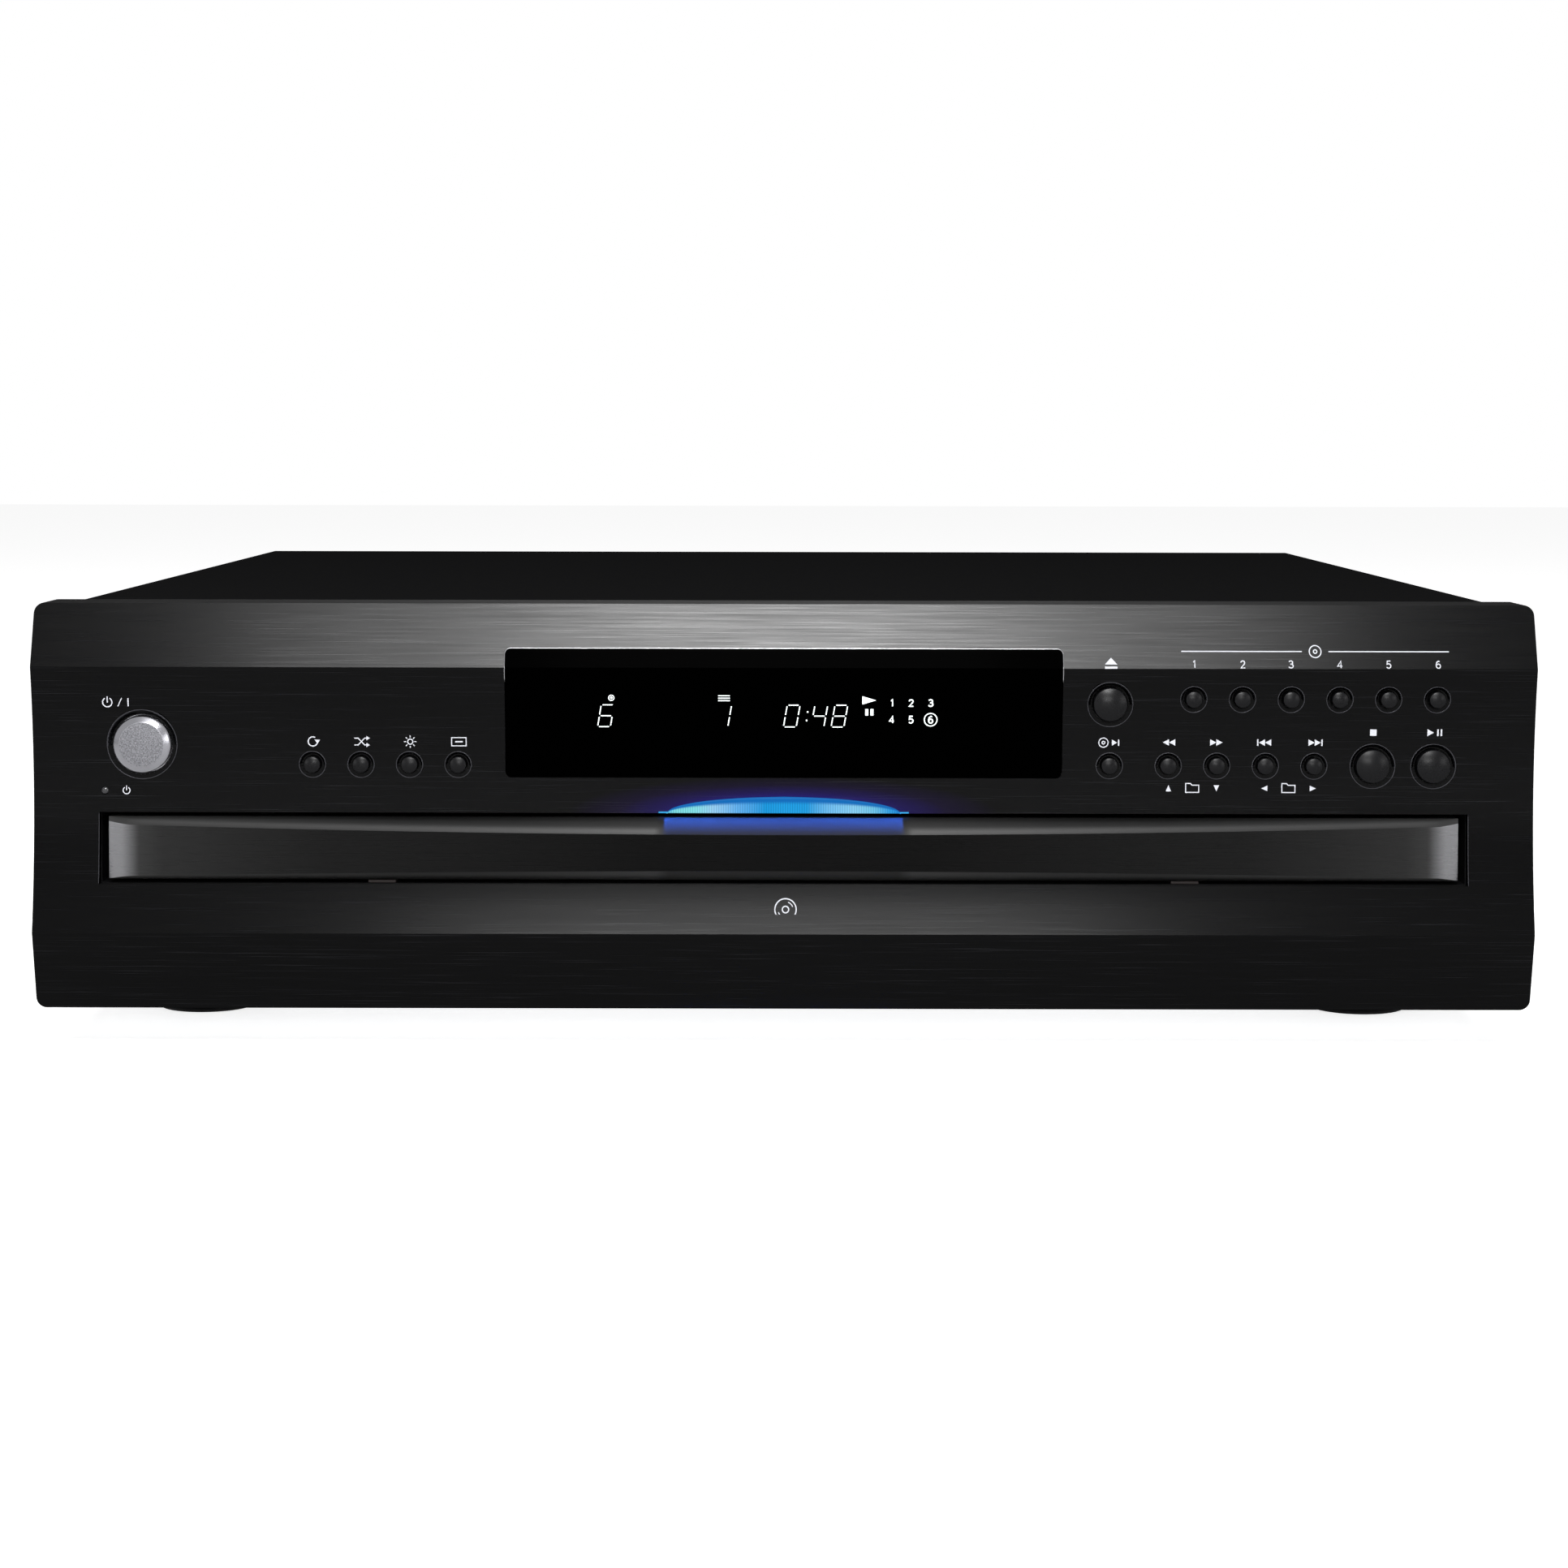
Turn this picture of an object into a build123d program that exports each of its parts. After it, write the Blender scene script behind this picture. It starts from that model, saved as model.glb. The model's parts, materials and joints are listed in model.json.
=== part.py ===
from build123d import *
from math import atan2, cos, degrees, hypot, pi, radians, sin, sqrt
import os

# A full-width six-disc carousel changer. Millimetres. X runs to the right as seen from the front,
# Y runs from the front to the back and Z runs up from the surface that the feet stand on.

# Discs and carousel
DISC_D = 120.0
SMALL_DISC_D = 80.0
WELLS = 6
WELL_CLEARANCE = 1.0
WELL_GAP = 1.0
WELL_DEPTH = 7.0
SMALL_WELL_DEPTH = 1.0
WELL_FLOOR = 2.5
CAROUSEL_RIM = 2.0
LIFT_SLOT = 41.0
HUB_R = 13.0
SPIGOT_R = 8.0
RING_MODULE = 1.5
RING_TEETH = 96
RING_HEIGHT = 2.6
PINION_TEETH = 16
GEAR_ANGLE = 45.0
BELT_R = 13.0
MOTOR_PULLEY_R = 4.0
BELT_WIDTH = 1.8
BELT_THICKNESS = 1.0
FLAT_MOTOR_R = 12.0
FLAT_MOTOR_INSET = 22.5
FLAT_MOTOR_SETBACK = 18.0
LAND_WALL = 2.0
TRACK_R = 98.5

# Drawer
TRAY_FLOOR = 2.0
TRAY_WALL = 2.5
TRAY_WALL_HEIGHT = 13.4
TRAY_REAR_MARGIN = 3.0
CAROUSEL_GAP = 1.5
CAROUSEL_LIFT = 0.8
RUNNER_WIDTH = 5.8
RUNNER_THICKNESS = 2.0
RUNNER_RAISE = 2.4
RACK_MODULE = 1.0
RACK_WIDTH = 5.0
RACK_INSET = 3.5
DRAWER_TRAVEL = 250.0
TROUGH_DEPTH = 2.2
TROUGH_FLOOR = 1.2

# Tray front
BEZEL_HEIGHT = 16.4
BEZEL_BULGE = 3.5
BEZEL_END_SWEEP = 1.4
BEZEL_END = 6.1
BEZEL_SLOPE = 0.635
BEZEL_SETBACK = 0.5
BEZEL_THICKNESS = 13.5
BEZEL_WALL = 2.0
BEZEL_OVERHANG = 0.3

# Front panel
FOOT_HEIGHT = 12.8
LOWER_FACET = 22.7
SLOT_RISE = 13.9
SLOT_HEIGHT = 20.9
SLOT_CLEARANCE = 2.5
SLOT_SIDE = 18.9
LOW_ROW_RISE = 14.0
ROW_STEP = 19.5
UPPER_CREASE_RISE = 8.9
UPPER_FACET = 18.3
HOLLOW = 3.9
TOP_LEAN = 6.3
BOTTOM_LEAN = 5.9
PANEL_WALL = 3.0
PANEL_DEPTH = 24.0
PANEL_CORNER = 3.0
WINDOW_GAP = 13.7
WINDOW_HEIGHT = 37.8
WINDOW_RISE = 10.2
WINDOW_CORNER = 1.7
WINDOW_THICKNESS = 2.5
WINDOW_RECESS = 0.25
LIGHT_WIDTH = 67.4
LIGHT_HEIGHT = 4.7
LIGHT_FLANGE = 72.6
LIGHT_FLANGE_HEIGHT = 0.4
LAMP_D = 2.0

# Sub-panel behind the front panel
SUB_DEPTH = 10.5
SUB_THICKNESS = 2.0
SUB_WALL = 2.0
TUNNEL_WALL = 2.0
TUNNEL_START = 7.4
TUNNEL_END = 26.0
PAD_WIDTH = 8.0
PAD_HEIGHT = 0.8
PAD_X = 117.0
TUBE_MARGIN = 10.7
TUBE_HEIGHT = 30.0
TUBE_THICKNESS = 6.0
FRONT_BOARD_THICKNESS = 1.6
SWITCH_SIZE = 6.0

# Controls
BUTTON_PITCH = 14.08
BUTTON_TRAVEL = 1.0
BUTTON_PROUD = 1.4
FLANGE_THICKNESS = 1.2
POWER_D = 16.6
BIG_D = 9.8
SMALL_D = 4.7
POWER_INSET = 31.6
POWER_RISE = 19.8
LAMP_INSET = 20.6
LAMP_RISE = 6.3
RIGHT_INSET = 28.6
DISC_KEYS = 5.0
OPEN_PITCH = 24.1

# Casing
SHEET = 1.2
COVER_SHEET = 1.0
COVER_INSET = 2.5
COVER_DROP = 1.6
CASE_GAP = 0.4
REAR_SPACE = 24.5
ARM_CLEARANCE = 3.0
CAROUSEL_SETBACK = 21.5
JACK_REACH = 13.0
FLANGE_HEIGHT = 12.0
VENTS = 6
VENT_PITCH = 9.0
VENT_WIDTH = 3.5
VENT_LENGTH = 35.0
VENT_SETBACK = 147.5
VENT_BANK_X = 75.0
FOOT_R = 20.0
FOOT_CONTACT_R = 17.5
PAD_R = 15.3
PAD_THICKNESS = 2.2
FOOT_INSET_X = 36.5
FRONT_FOOT_Y = 82.0
REAR_FOOT_Y = 366.5
SCREW_HEAD_R = 3.4
SCREW_HEAD = 1.7
SCREW_SHANK_R = 1.5

# Guide rails and loading drive
RAIL_WALL = 3.0
RAIL_GAP = 0.4
RAIL_FOOT = 9.8
RAIL_BASE = 2.0
LIP = 2.0
GROOVE_CLEARANCE = 0.3
IDLER_TEETH = 24
SMALL_GEAR_TEETH = 16
BIG_GEAR_TEETH = 26
IDLER_SETBACK = 46.5
IDLER_PHASE = 90.0
MOTOR_PINION_TEETH = 10
GEAR_WIDTH = 4.5
GEAR_PIN_R = 2.0
MOTOR_R = 12.0
MOTOR_LENGTH = 30.0

# Pickup
PICKUP_WIDTH = 37.0
LIFT = 24.0
PICKUP_LENGTH = 68.0
DISC_SEAT_DROP = 2.8
PLATE_THICKNESS = 3.0
SIDE_WALL = 2.0
TURNTABLE_R = 16.0
TURNTABLE_THICKNESS = 3.0
CONE_R = 7.4
CONE_HEIGHT = 2.1
ROD_R = 1.5
ROD_X = 12.0
SLED_LENGTH = 16.0
SLED_START = 18.0
PIN_R = 2.0
PIN_X = 13.0
PIN_RISE = 3.2
CAM_THICKNESS = 2.5
CAM_CLEARANCE = 0.2
TOWER_WALL = 3.0
TOWER_GAP = 1.5
LIFT_GEAR_TEETH = 18
LIFT_GEAR_X = 60.0
CLAMPER_R = 15.0
CLAMPER_FLANGE_R = 19.0
ARM_WIDTH = 46.0
ARM_SHEET = 1.5
ARM_FLANGE = 6.0
ARM_RISE = 6.0
DISC_THICKNESS = 1.2

# Boards and transformer
BOARD_THICKNESS = 1.6
BOARD_STANDOFF = 6.0
BOARD_WIDTH = 88.0
BOARD_LENGTH = 190.0
BOARD_REAR_GAP = 14.0
CHIPS = [(-0.2, 0.37, 18.0), (-0.2, 0.58, 14.0), (0.18, 0.63, 10.0)]
CAPACITOR_RADII = (8.0, 8.0, 5.0, 5.0, 5.0)
CAPACITOR_PITCH = 15.0
SINK_LENGTH = 40.0
CORE_X = 56.0
CORE_Y = 24.0
CORE_Z = 33.0
INLET_WIDTH = 24.5
INLET_HEIGHT = 17.0
INLET_DEPTH = 14.0
INLET_FLANGE = 3.0
INLET_RISE = 24.0
INLET_SHIFT = 12.0
TRANSFORMER_INSET = 63.6
JACK_R = 4.15
JACK_COLLAR = 3.0
JACK_PITCH = 14.0
PHONO_SHIFT = 24.0
COAX_PITCH = 30.0
OPTICAL_PITCH = 18.0

# Places worked out from the sizes above
WELL_R = DISC_D / 2 + WELL_CLEARANCE
STATION_R = (2 * WELL_R + WELL_GAP) / 2 / sin(pi / WELLS)
CAROUSEL_R = STATION_R + WELL_R + CAROUSEL_RIM
POCKET_R = CAROUSEL_R + CAROUSEL_GAP
TRAY_HALF = POCKET_R + TRAY_WALL
RUNNER_HALF = TRAY_HALF + RUNNER_WIDTH
BEZEL_HALF = RUNNER_HALF + BEZEL_OVERHANG
SLOT_HALF = BEZEL_HALF + SLOT_CLEARANCE
HALF_WIDTH = SLOT_HALF + SLOT_SIDE
PICKUP_OVERHANG = PICKUP_LENGTH - WELL_R - CAROUSEL_RIM - TRAY_REAR_MARGIN
DEPTH = CAROUSEL_SETBACK + 2 * CAROUSEL_R + max(PICKUP_OVERHANG, 0) + REAR_SPACE + JACK_REACH
FRONT = -DEPTH / 2
PANEL_BACK = FRONT + PANEL_DEPTH
CENTRE_Y = FRONT + CAROUSEL_SETBACK + CAROUSEL_R
REAR_FACE = FRONT + DEPTH - JACK_REACH
STATION_Y = CENTRE_Y + STATION_R
TRAY_REAR = CENTRE_Y + CAROUSEL_R + TRAY_REAR_MARGIN

PANEL_BOTTOM = FOOT_HEIGHT
LOWER_CREASE = PANEL_BOTTOM + LOWER_FACET
SLOT_BOTTOM = LOWER_CREASE + SLOT_RISE
SLOT_TOP = SLOT_BOTTOM + SLOT_HEIGHT
LOW_ROW = SLOT_TOP + LOW_ROW_RISE
HIGH_ROW = LOW_ROW + ROW_STEP
UPPER_CREASE = HIGH_ROW + UPPER_CREASE_RISE
PANEL_TOP = UPPER_CREASE + UPPER_FACET
MID_HOLLOW = (UPPER_CREASE + LOWER_CREASE) / 2
HALF_CHORD = (UPPER_CREASE - LOWER_CREASE) / 2
HOLLOW_R = (HALF_CHORD**2 + HOLLOW**2) / (2 * HOLLOW)
COVER_TOP = PANEL_TOP - COVER_DROP
COVER_HALF = HALF_WIDTH - COVER_INSET
FLOOR_TOP = FOOT_HEIGHT + SHEET
BASE_HALF = COVER_HALF - COVER_SHEET - CASE_GAP

RACK_TIP = SLOT_BOTTOM + 0.9
ADDENDUM = 1.0
DEDENDUM = 1.3
RACK_PITCH_Z = RACK_TIP + ADDENDUM * RACK_MODULE
TRAY_BOTTOM = RACK_PITCH_Z + DEDENDUM * RACK_MODULE
TRAY_TOP = TRAY_BOTTOM + TRAY_WALL_HEIGHT
TRAY_INNER = TRAY_BOTTOM + TRAY_FLOOR
RING_BOTTOM = TRAY_INNER + CAROUSEL_LIFT
CAROUSEL_BOTTOM = RING_BOTTOM + RING_HEIGHT
WELL_Z = CAROUSEL_BOTTOM + WELL_FLOOR
CAROUSEL_TOP = WELL_Z + WELL_DEPTH
RUNNER_Z = TRAY_BOTTOM + RUNNER_RAISE
RING_R = RING_MODULE * RING_TEETH / 2
PINION_R = RING_MODULE * PINION_TEETH / 2
TROUGH_Z = TRAY_BOTTOM - TROUGH_DEPTH
WINDOW_BOTTOM = SLOT_TOP + WINDOW_RISE
WINDOW_TOP = WINDOW_BOTTOM + WINDOW_HEIGHT
BEZEL_MID = SLOT_BOTTOM + 1.2 + BEZEL_HEIGHT / 2

TRAY_FRONT_Y = FRONT + BEZEL_SETBACK + BEZEL_THICKNESS
GEAR_X = (RING_R + PINION_R) * cos(radians(GEAR_ANGLE))
GEAR_Y = CENTRE_Y + (RING_R + PINION_R) * sin(radians(GEAR_ANGLE))
MOTOR_X = TRAY_HALF - TRAY_WALL - FLAT_MOTOR_INSET
MOTOR_Y = TRAY_REAR - FLAT_MOTOR_R - FLAT_MOTOR_SETBACK
BELT_Z = TROUGH_Z + TROUGH_FLOOR + 0.3

IDLER_Y = FRONT + IDLER_SETBACK
IDLER_R = RACK_MODULE * IDLER_TEETH / 2
IDLER_Z = RACK_PITCH_Z - IDLER_R
RACK_X = -(TRAY_HALF - RACK_INSET)
RACK_START = TRAY_FRONT_Y + 4
RACK_END = IDLER_Y + DRAWER_TRAVEL + 16
RACK_TOOTH = IDLER_Y + pi * RACK_MODULE / 2
SMALL_GEAR_R = RACK_MODULE * SMALL_GEAR_TEETH / 2
BIG_GEAR_R = RACK_MODULE * BIG_GEAR_TEETH / 2
MOTOR_PINION_R = RACK_MODULE * MOTOR_PINION_TEETH / 2
GEAR_B_Z = FLOOR_TOP + BIG_GEAR_R + 2.5
GEAR_B_Y = IDLER_Y + sqrt((IDLER_R + SMALL_GEAR_R) ** 2 - (IDLER_Z - GEAR_B_Z) ** 2)
LOAD_MOTOR_Y = GEAR_B_Y + BIG_GEAR_R + MOTOR_PINION_R
BIG_GEAR_X = RACK_X - 1.0 - GEAR_WIDTH
RAIL_INNER = RUNNER_HALF + RAIL_GAP
MOTOR_FRONT = RACK_X + RACK_WIDTH + 0.5

# The pickup unit rests below the drawer, the clamper hangs above the play station
PICKUP_HALF = PICKUP_WIDTH / 2
SEAT_Z = RACK_TIP - DISC_SEAT_DROP
PLATE_Z = SEAT_Z - 14.5
PICKUP_REAR = STATION_Y + PICKUP_LENGTH
ROD_Z = PLATE_Z + PLATE_THICKNESS + 3.0
PIN_Z = FLOOR_TOP + 2.8 + PIN_RISE
LEG_Y = STATION_Y - 11.5
CAM_BACK = STATION_Y - PICKUP_HALF - 4.8
CAM_FRONT = CAM_BACK - CAM_THICKNESS
TOWER_FRONT = CAM_BACK + 0.3
CAM_LOW = PIN_Z - PIN_R - 2.0
CAM_HIGH = PIN_Z + LIFT + PIN_R + 1.8
RACK_BAR_Z = CAM_LOW + 4.0
LIFT_GEAR_R = RACK_MODULE * LIFT_GEAR_TEETH / 2
LIFT_GEAR_Z = RACK_BAR_Z + DEDENDUM * RACK_MODULE + LIFT_GEAR_R
SLED_Y = STATION_Y + SLED_START
SLED_Z = PLATE_Z + PLATE_THICKNESS + 0.6
CLAMP_GAP = DISC_THICKNESS + 0.3
CLAMPER_Z = SEAT_Z + LIFT + CLAMP_GAP
ARM_Z = CLAMPER_Z + ARM_RISE
ARM_LEG_Y = TRAY_REAR + max(PICKUP_OVERHANG, 0) + ARM_CLEARANCE

TRANSFORMER_X = -(BASE_HALF - TRANSFORMER_INSET)
TRANSFORMER_Y = STATION_Y + 10
VENT_Y = FRONT + VENT_SETBACK
BOARD_X = RAIL_INNER - 4 - BOARD_WIDTH / 2
BOARD_Z = FLOOR_TOP + BOARD_STANDOFF
INLET_X = TRANSFORMER_X - INLET_SHIFT
INLET_Z = FLOOR_TOP + INLET_RISE

# Controls: name, X, Z, diameter
RIGHT_X = HALF_WIDTH - RIGHT_INSET
DISC_KEY_X = RIGHT_X - DISC_KEYS * BUTTON_PITCH
OPEN_X = DISC_KEY_X - OPEN_PITCH
LEFT_GROUP_X = -OPEN_X - 3 * BUTTON_PITCH
WINDOW_WIDTH = 2 * (OPEN_X - WINDOW_GAP)
TUBE_WIDTH = WINDOW_WIDTH - 2 * TUBE_MARGIN
POWER_X = -(HALF_WIDTH - POWER_INSET)
POWER_Z = SLOT_TOP + POWER_RISE
LAMP_X = -(HALF_WIDTH - LAMP_INSET)
LAMP_Z = SLOT_TOP + LAMP_RISE
CONTROLS = [("power_button", POWER_X, POWER_Z, POWER_D)]
for count, name in enumerate(("repeat_button", "random_button", "dimmer_button", "display_button")):
    CONTROLS.append((name, LEFT_GROUP_X + count * BUTTON_PITCH, LOW_ROW, SMALL_D))
KEY_X = RIGHT_X - 5.5 * BUTTON_PITCH
for count, name in enumerate(("seek_back_button", "seek_forward_button", "skip_back_button",
                              "skip_forward_button")):
    CONTROLS.append((name, KEY_X + count * BUTTON_PITCH, LOW_ROW, SMALL_D))
for count in range(WELLS):
    name = f"disc_{count + 1}_button"
    CONTROLS.append((name, DISC_KEY_X + (count + DISC_KEYS - (WELLS - 1)) * BUTTON_PITCH, HIGH_ROW, SMALL_D))
CONTROLS.append(("disc_skip_button", OPEN_X, LOW_ROW, SMALL_D))
CONTROLS.append(("open_close_button", OPEN_X, HIGH_ROW - 1.5, BIG_D))
CONTROLS.append(("stop_button", RIGHT_X - 18.2, LOW_ROW, BIG_D))
CONTROLS.append(("play_pause_button", RIGHT_X - 0.6, LOW_ROW, BIG_D))


def block(x0, x1, y0, y1, z0, z1):
    """A box between two corners."""
    return Pos((x0 + x1) / 2, (y0 + y1) / 2, (z0 + z1) / 2) * Box(x1 - x0, y1 - y0, z1 - z0)


def rod_x(y, z, x0, x1, r):
    """A round bar along X."""
    return Pos((x0 + x1) / 2, y, z) * Rot(0, 90, 0) * Cylinder(r, x1 - x0)


def rod_y(x, z, y0, y1, r):
    """A round bar along Y."""
    return Pos(x, (y0 + y1) / 2, z) * Rot(90, 0, 0) * Cylinder(r, y1 - y0)


def rod_z(x, y, z0, z1, r):
    """A round bar along Z."""
    return Pos(x, y, (z0 + z1) / 2) * Cylinder(r, z1 - z0)


def along_x(sketch, x0, x1):
    """A section drawn in (Y, Z), carried from x0 to x1."""
    return extrude(Plane.YZ.offset(x0) * sketch, x1 - x0)


def along_y(sketch, y0, y1):
    """A section drawn in (X, Z), carried from y0 to y1."""
    return extrude(Plane.XZ.offset(-y1) * sketch, y1 - y0)


def along_z(sketch, z0, z1):
    """A section drawn in (X, Y), carried from z0 to z1."""
    return extrude(Plane.XY.offset(z0) * sketch, z1 - z0)


def turned_z(points, x, y):
    """A solid of revolution about a vertical axis, from (radius, height) points."""
    return Pos(x, y, 0) * revolve(Plane.XZ * make_face(Polyline(*points, close=True)), Axis.Z)


def turned_y(points, x, z):
    """A solid of revolution about an axis along Y, from (radius, Y) points."""
    return Pos(x, 0, z) * revolve(Plane.XY * make_face(Polyline(*points, close=True)), Axis.Y)


def face_depth(z):
    """How far the hollow of the panel lies behind its creases at height z."""
    return HOLLOW - (HOLLOW_R - sqrt(HOLLOW_R**2 - (z - MID_HOLLOW) ** 2))


def gear_outline(module, teeth, phase, bore):
    """Flat outline of a spur gear. phase is the direction of one tooth, in degrees."""
    pitch_r = module * teeth / 2
    tip_r = pitch_r + 0.9 * module
    root_r = pitch_r - 1.2 * module
    tip_half = 0.56 * module / 2 / tip_r
    root_half = 1.95 * module / 2 / root_r
    points = []
    for tooth in range(teeth):
        angle = radians(phase) + 2 * pi * tooth / teeth
        corners = ((root_r, -root_half), (tip_r, -tip_half), (tip_r, tip_half), (root_r, root_half))
        for radius, turn in corners:
            points.append((radius * cos(angle + turn), radius * sin(angle + turn)))
    outline = make_face(Polyline(*points, close=True))
    return outline - Circle(bore)


def rack_outline(module, start, end, tooth_at, root, away):
    """Flat outline of rack teeth along the first axis. away is +1 or -1, the way that the teeth point."""
    pitch = pi * module
    tip = root + away * (ADDENDUM * 0.9 + DEDENDUM) * module
    first = tooth_at + pitch * int((start - tooth_at) / pitch)
    teeth = []
    for number in range(int((end - first) / pitch) + 1):
        centre = first + pitch * number
        if centre - pitch / 2 < start or centre + pitch / 2 > end:
            continue
        low = 1.08 * module
        high = 0.34 * module
        corners = [(centre - low, root), (centre - high, tip), (centre + high, tip), (centre + low, root)]
        teeth.append(Polyline(*corners, close=True))
    return [make_face(tooth) for tooth in teeth]


def meshing_phase(phase, teeth, direction, other_teeth):
    """Direction of a tooth on the other gear, so that its gap faces a tooth of the first."""
    pitch = 360 / teeth
    share = ((phase - direction) % pitch) / pitch
    other_pitch = 360 / other_teeth
    return direction + 180 - share * other_pitch + other_pitch / 2


def screw_y(x, y, z, length):
    """A pan-head screw whose head stands behind y."""
    head = rod_y(x, z, y, y + SCREW_HEAD, SCREW_HEAD_R)
    return head + rod_y(x, z, y - length, y, SCREW_SHANK_R)


def hole_d(diameter):
    """Diameter of the hole that a button passes."""
    return diameter + 0.7


def recess_d(diameter):
    """Diameter of the countersunk recess round a button, where it meets the panel."""
    return diameter + 2.4 + 0.06 * diameter


def flange_d(diameter):
    """Diameter of the flange that keeps a button in its hole."""
    return hole_d(diameter) + 2.4


def panel_edges(back, shift):
    """Outline of the panel seen from its right end, moved back by shift."""
    top_front = (FRONT + TOP_LEAN + shift, PANEL_TOP)
    upper = (FRONT + shift, UPPER_CREASE)
    middle = (FRONT + HOLLOW + shift, MID_HOLLOW)
    lower = (FRONT + shift, LOWER_CREASE)
    bottom_front = (FRONT + BOTTOM_LEAN + shift, PANEL_BOTTOM)
    rest = Polyline(lower, bottom_front, (back, PANEL_BOTTOM), (back, PANEL_TOP), top_front, upper)
    return make_face([ThreePointArc(upper, middle, lower), rest])


def rounded_bar(half_width, bottom, top, corner, y0, y1):
    """A bar along Y with rounded corners."""
    section = Pos(0, (bottom + top) / 2) * RectangleRounded(2 * half_width, top - bottom, corner)
    return along_y(section, y0, y1)


def fascia():
    """Extruded panel: two flat facets, a hollow between them, and the openings for slot and controls."""
    body = along_x(panel_edges(PANEL_BACK, 0), -HALF_WIDTH, HALF_WIDTH)
    body &= rounded_bar(HALF_WIDTH, PANEL_BOTTOM, PANEL_TOP, PANEL_CORNER, FRONT - 1, PANEL_BACK + 1)
    inner_half = HALF_WIDTH - PANEL_WALL
    hollow = along_x(panel_edges(PANEL_BACK + 20, PANEL_WALL), -inner_half, inner_half)
    hollow &= block(-inner_half, inner_half, FRONT, PANEL_BACK + 10,
                    PANEL_BOTTOM + PANEL_WALL, PANEL_TOP - PANEL_WALL)
    body -= hollow
    back = FRONT + HOLLOW + PANEL_WALL + 8
    body -= block(-SLOT_HALF, SLOT_HALF, FRONT - 1, back, SLOT_BOTTOM, SLOT_TOP)
    body -= window_bar(0, FRONT - 1, back)
    body -= light_shape(0.1, FRONT - 1, back)
    for _, x, z, diameter in CONTROLS:
        surface = FRONT + face_depth(z)
        sink = (recess_d(diameter) - hole_d(diameter)) / 2
        outer = recess_d(diameter) / 2 + 1.0
        inner = hole_d(diameter) / 2
        cutter = [(0, surface - 1), (outer, surface - 1), (inner, surface + sink), (inner, back), (0, back)]
        body -= turned_y(cutter, x, z)
    body -= rod_y(LAMP_X, LAMP_Z, FRONT, back, LAMP_D / 2 + 0.15)
    return body


def window_bar(clearance, y0, y1):
    """The display opening, or with a clearance what fits in it."""
    section = Pos(0, (WINDOW_BOTTOM + WINDOW_TOP) / 2) * RectangleRounded(
        WINDOW_WIDTH - 2 * clearance, WINDOW_HEIGHT - 2 * clearance, WINDOW_CORNER)
    return along_y(section, y0, y1)


def display_window():
    """Clear moulding that follows the panel's profile, with a flange behind the opening."""
    flange = WINDOW_THICKNESS + PANEL_WALL
    skin = along_x(panel_edges(PANEL_BACK + 20, WINDOW_RECESS), -HALF_WIDTH, HALF_WIDTH)
    lens = skin & window_bar(0.12, FRONT - 1, FRONT + SUB_DEPTH - 3.4)
    seat = along_x(panel_edges(PANEL_BACK + 20, PANEL_WALL + 0.1), -HALF_WIDTH, HALF_WIDTH)
    rim = seat & window_bar(-2.0, FRONT - 1, FRONT + HOLLOW + flange - 1.5)
    body = lens + rim
    back = FRONT + SUB_DEPTH - 1.4
    return body & block(-HALF_WIDTH, HALF_WIDTH, FRONT - 1, back, 0, PANEL_TOP)


def light_shape(clearance, y0, y1):
    """The arched light opening above the slot."""
    half = LIGHT_WIDTH / 2
    base = SLOT_TOP + LIGHT_FLANGE_HEIGHT
    peak = SLOT_TOP + LIGHT_HEIGHT + clearance
    arch = make_face([ThreePointArc((-half - clearance, base), (0, peak), (half + clearance, base)),
                      Line((half + clearance, base), (-half - clearance, base))])
    strip = Pos(0, SLOT_TOP + LIGHT_FLANGE_HEIGHT / 2) * Rectangle(
        LIGHT_FLANGE + 2 * clearance, LIGHT_FLANGE_HEIGHT + 0.002)
    return along_y(arch + strip, y0, y1)


def light_bar():
    """Blue light guide: an arched lens on a thin strip that forms the slot's ceiling."""
    skin = along_x(panel_edges(PANEL_BACK + 20, 0.1), -HALF_WIDTH, HALF_WIDTH)
    return skin & light_shape(0, FRONT - 1, FRONT + TUNNEL_START - 0.2)


def button(x, z, diameter):
    """A domed push button with a flange behind the panel and a stem that reaches its switch."""
    surface = FRONT + face_depth(z)
    radius = diameter / 2
    front = surface - BUTTON_PROUD
    edge = min(1.0, radius * 0.4)
    flange_front = surface + PANEL_WALL + 0.45 + 0.16 * flange_d(diameter) / 2
    flange_back = flange_front + FLANGE_THICKNESS
    stem_r = radius * 0.6
    stem_end = board_front() - SWITCH_SIZE / 2 - BUTTON_TRAVEL - 0.2
    if diameter >= POWER_D:
        top = [(0, front), (radius * 0.78, front), (radius * 0.84, front + 0.35), (radius, front + 0.9)]
    elif diameter >= BIG_D:
        top = [(0, front - 0.4), (radius * 0.45, front - 0.25), (radius * 0.8, front + 0.15),
               (radius, front + edge)]
    else:
        top = [(0, front), (radius * 0.5, front + 0.16), (radius * 0.84, front + 0.6), (radius, front + 1.3)]
    flange_r = flange_d(diameter) / 2
    points = top + [(radius, flange_front), (flange_r, flange_front), (flange_r, flange_back),
                    (stem_r, flange_back), (stem_r, stem_end), (0, stem_end)]
    return turned_y(points, x, z)


def board_front():
    """Y of the front face of the front board."""
    return FRONT + TUNNEL_END


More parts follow.
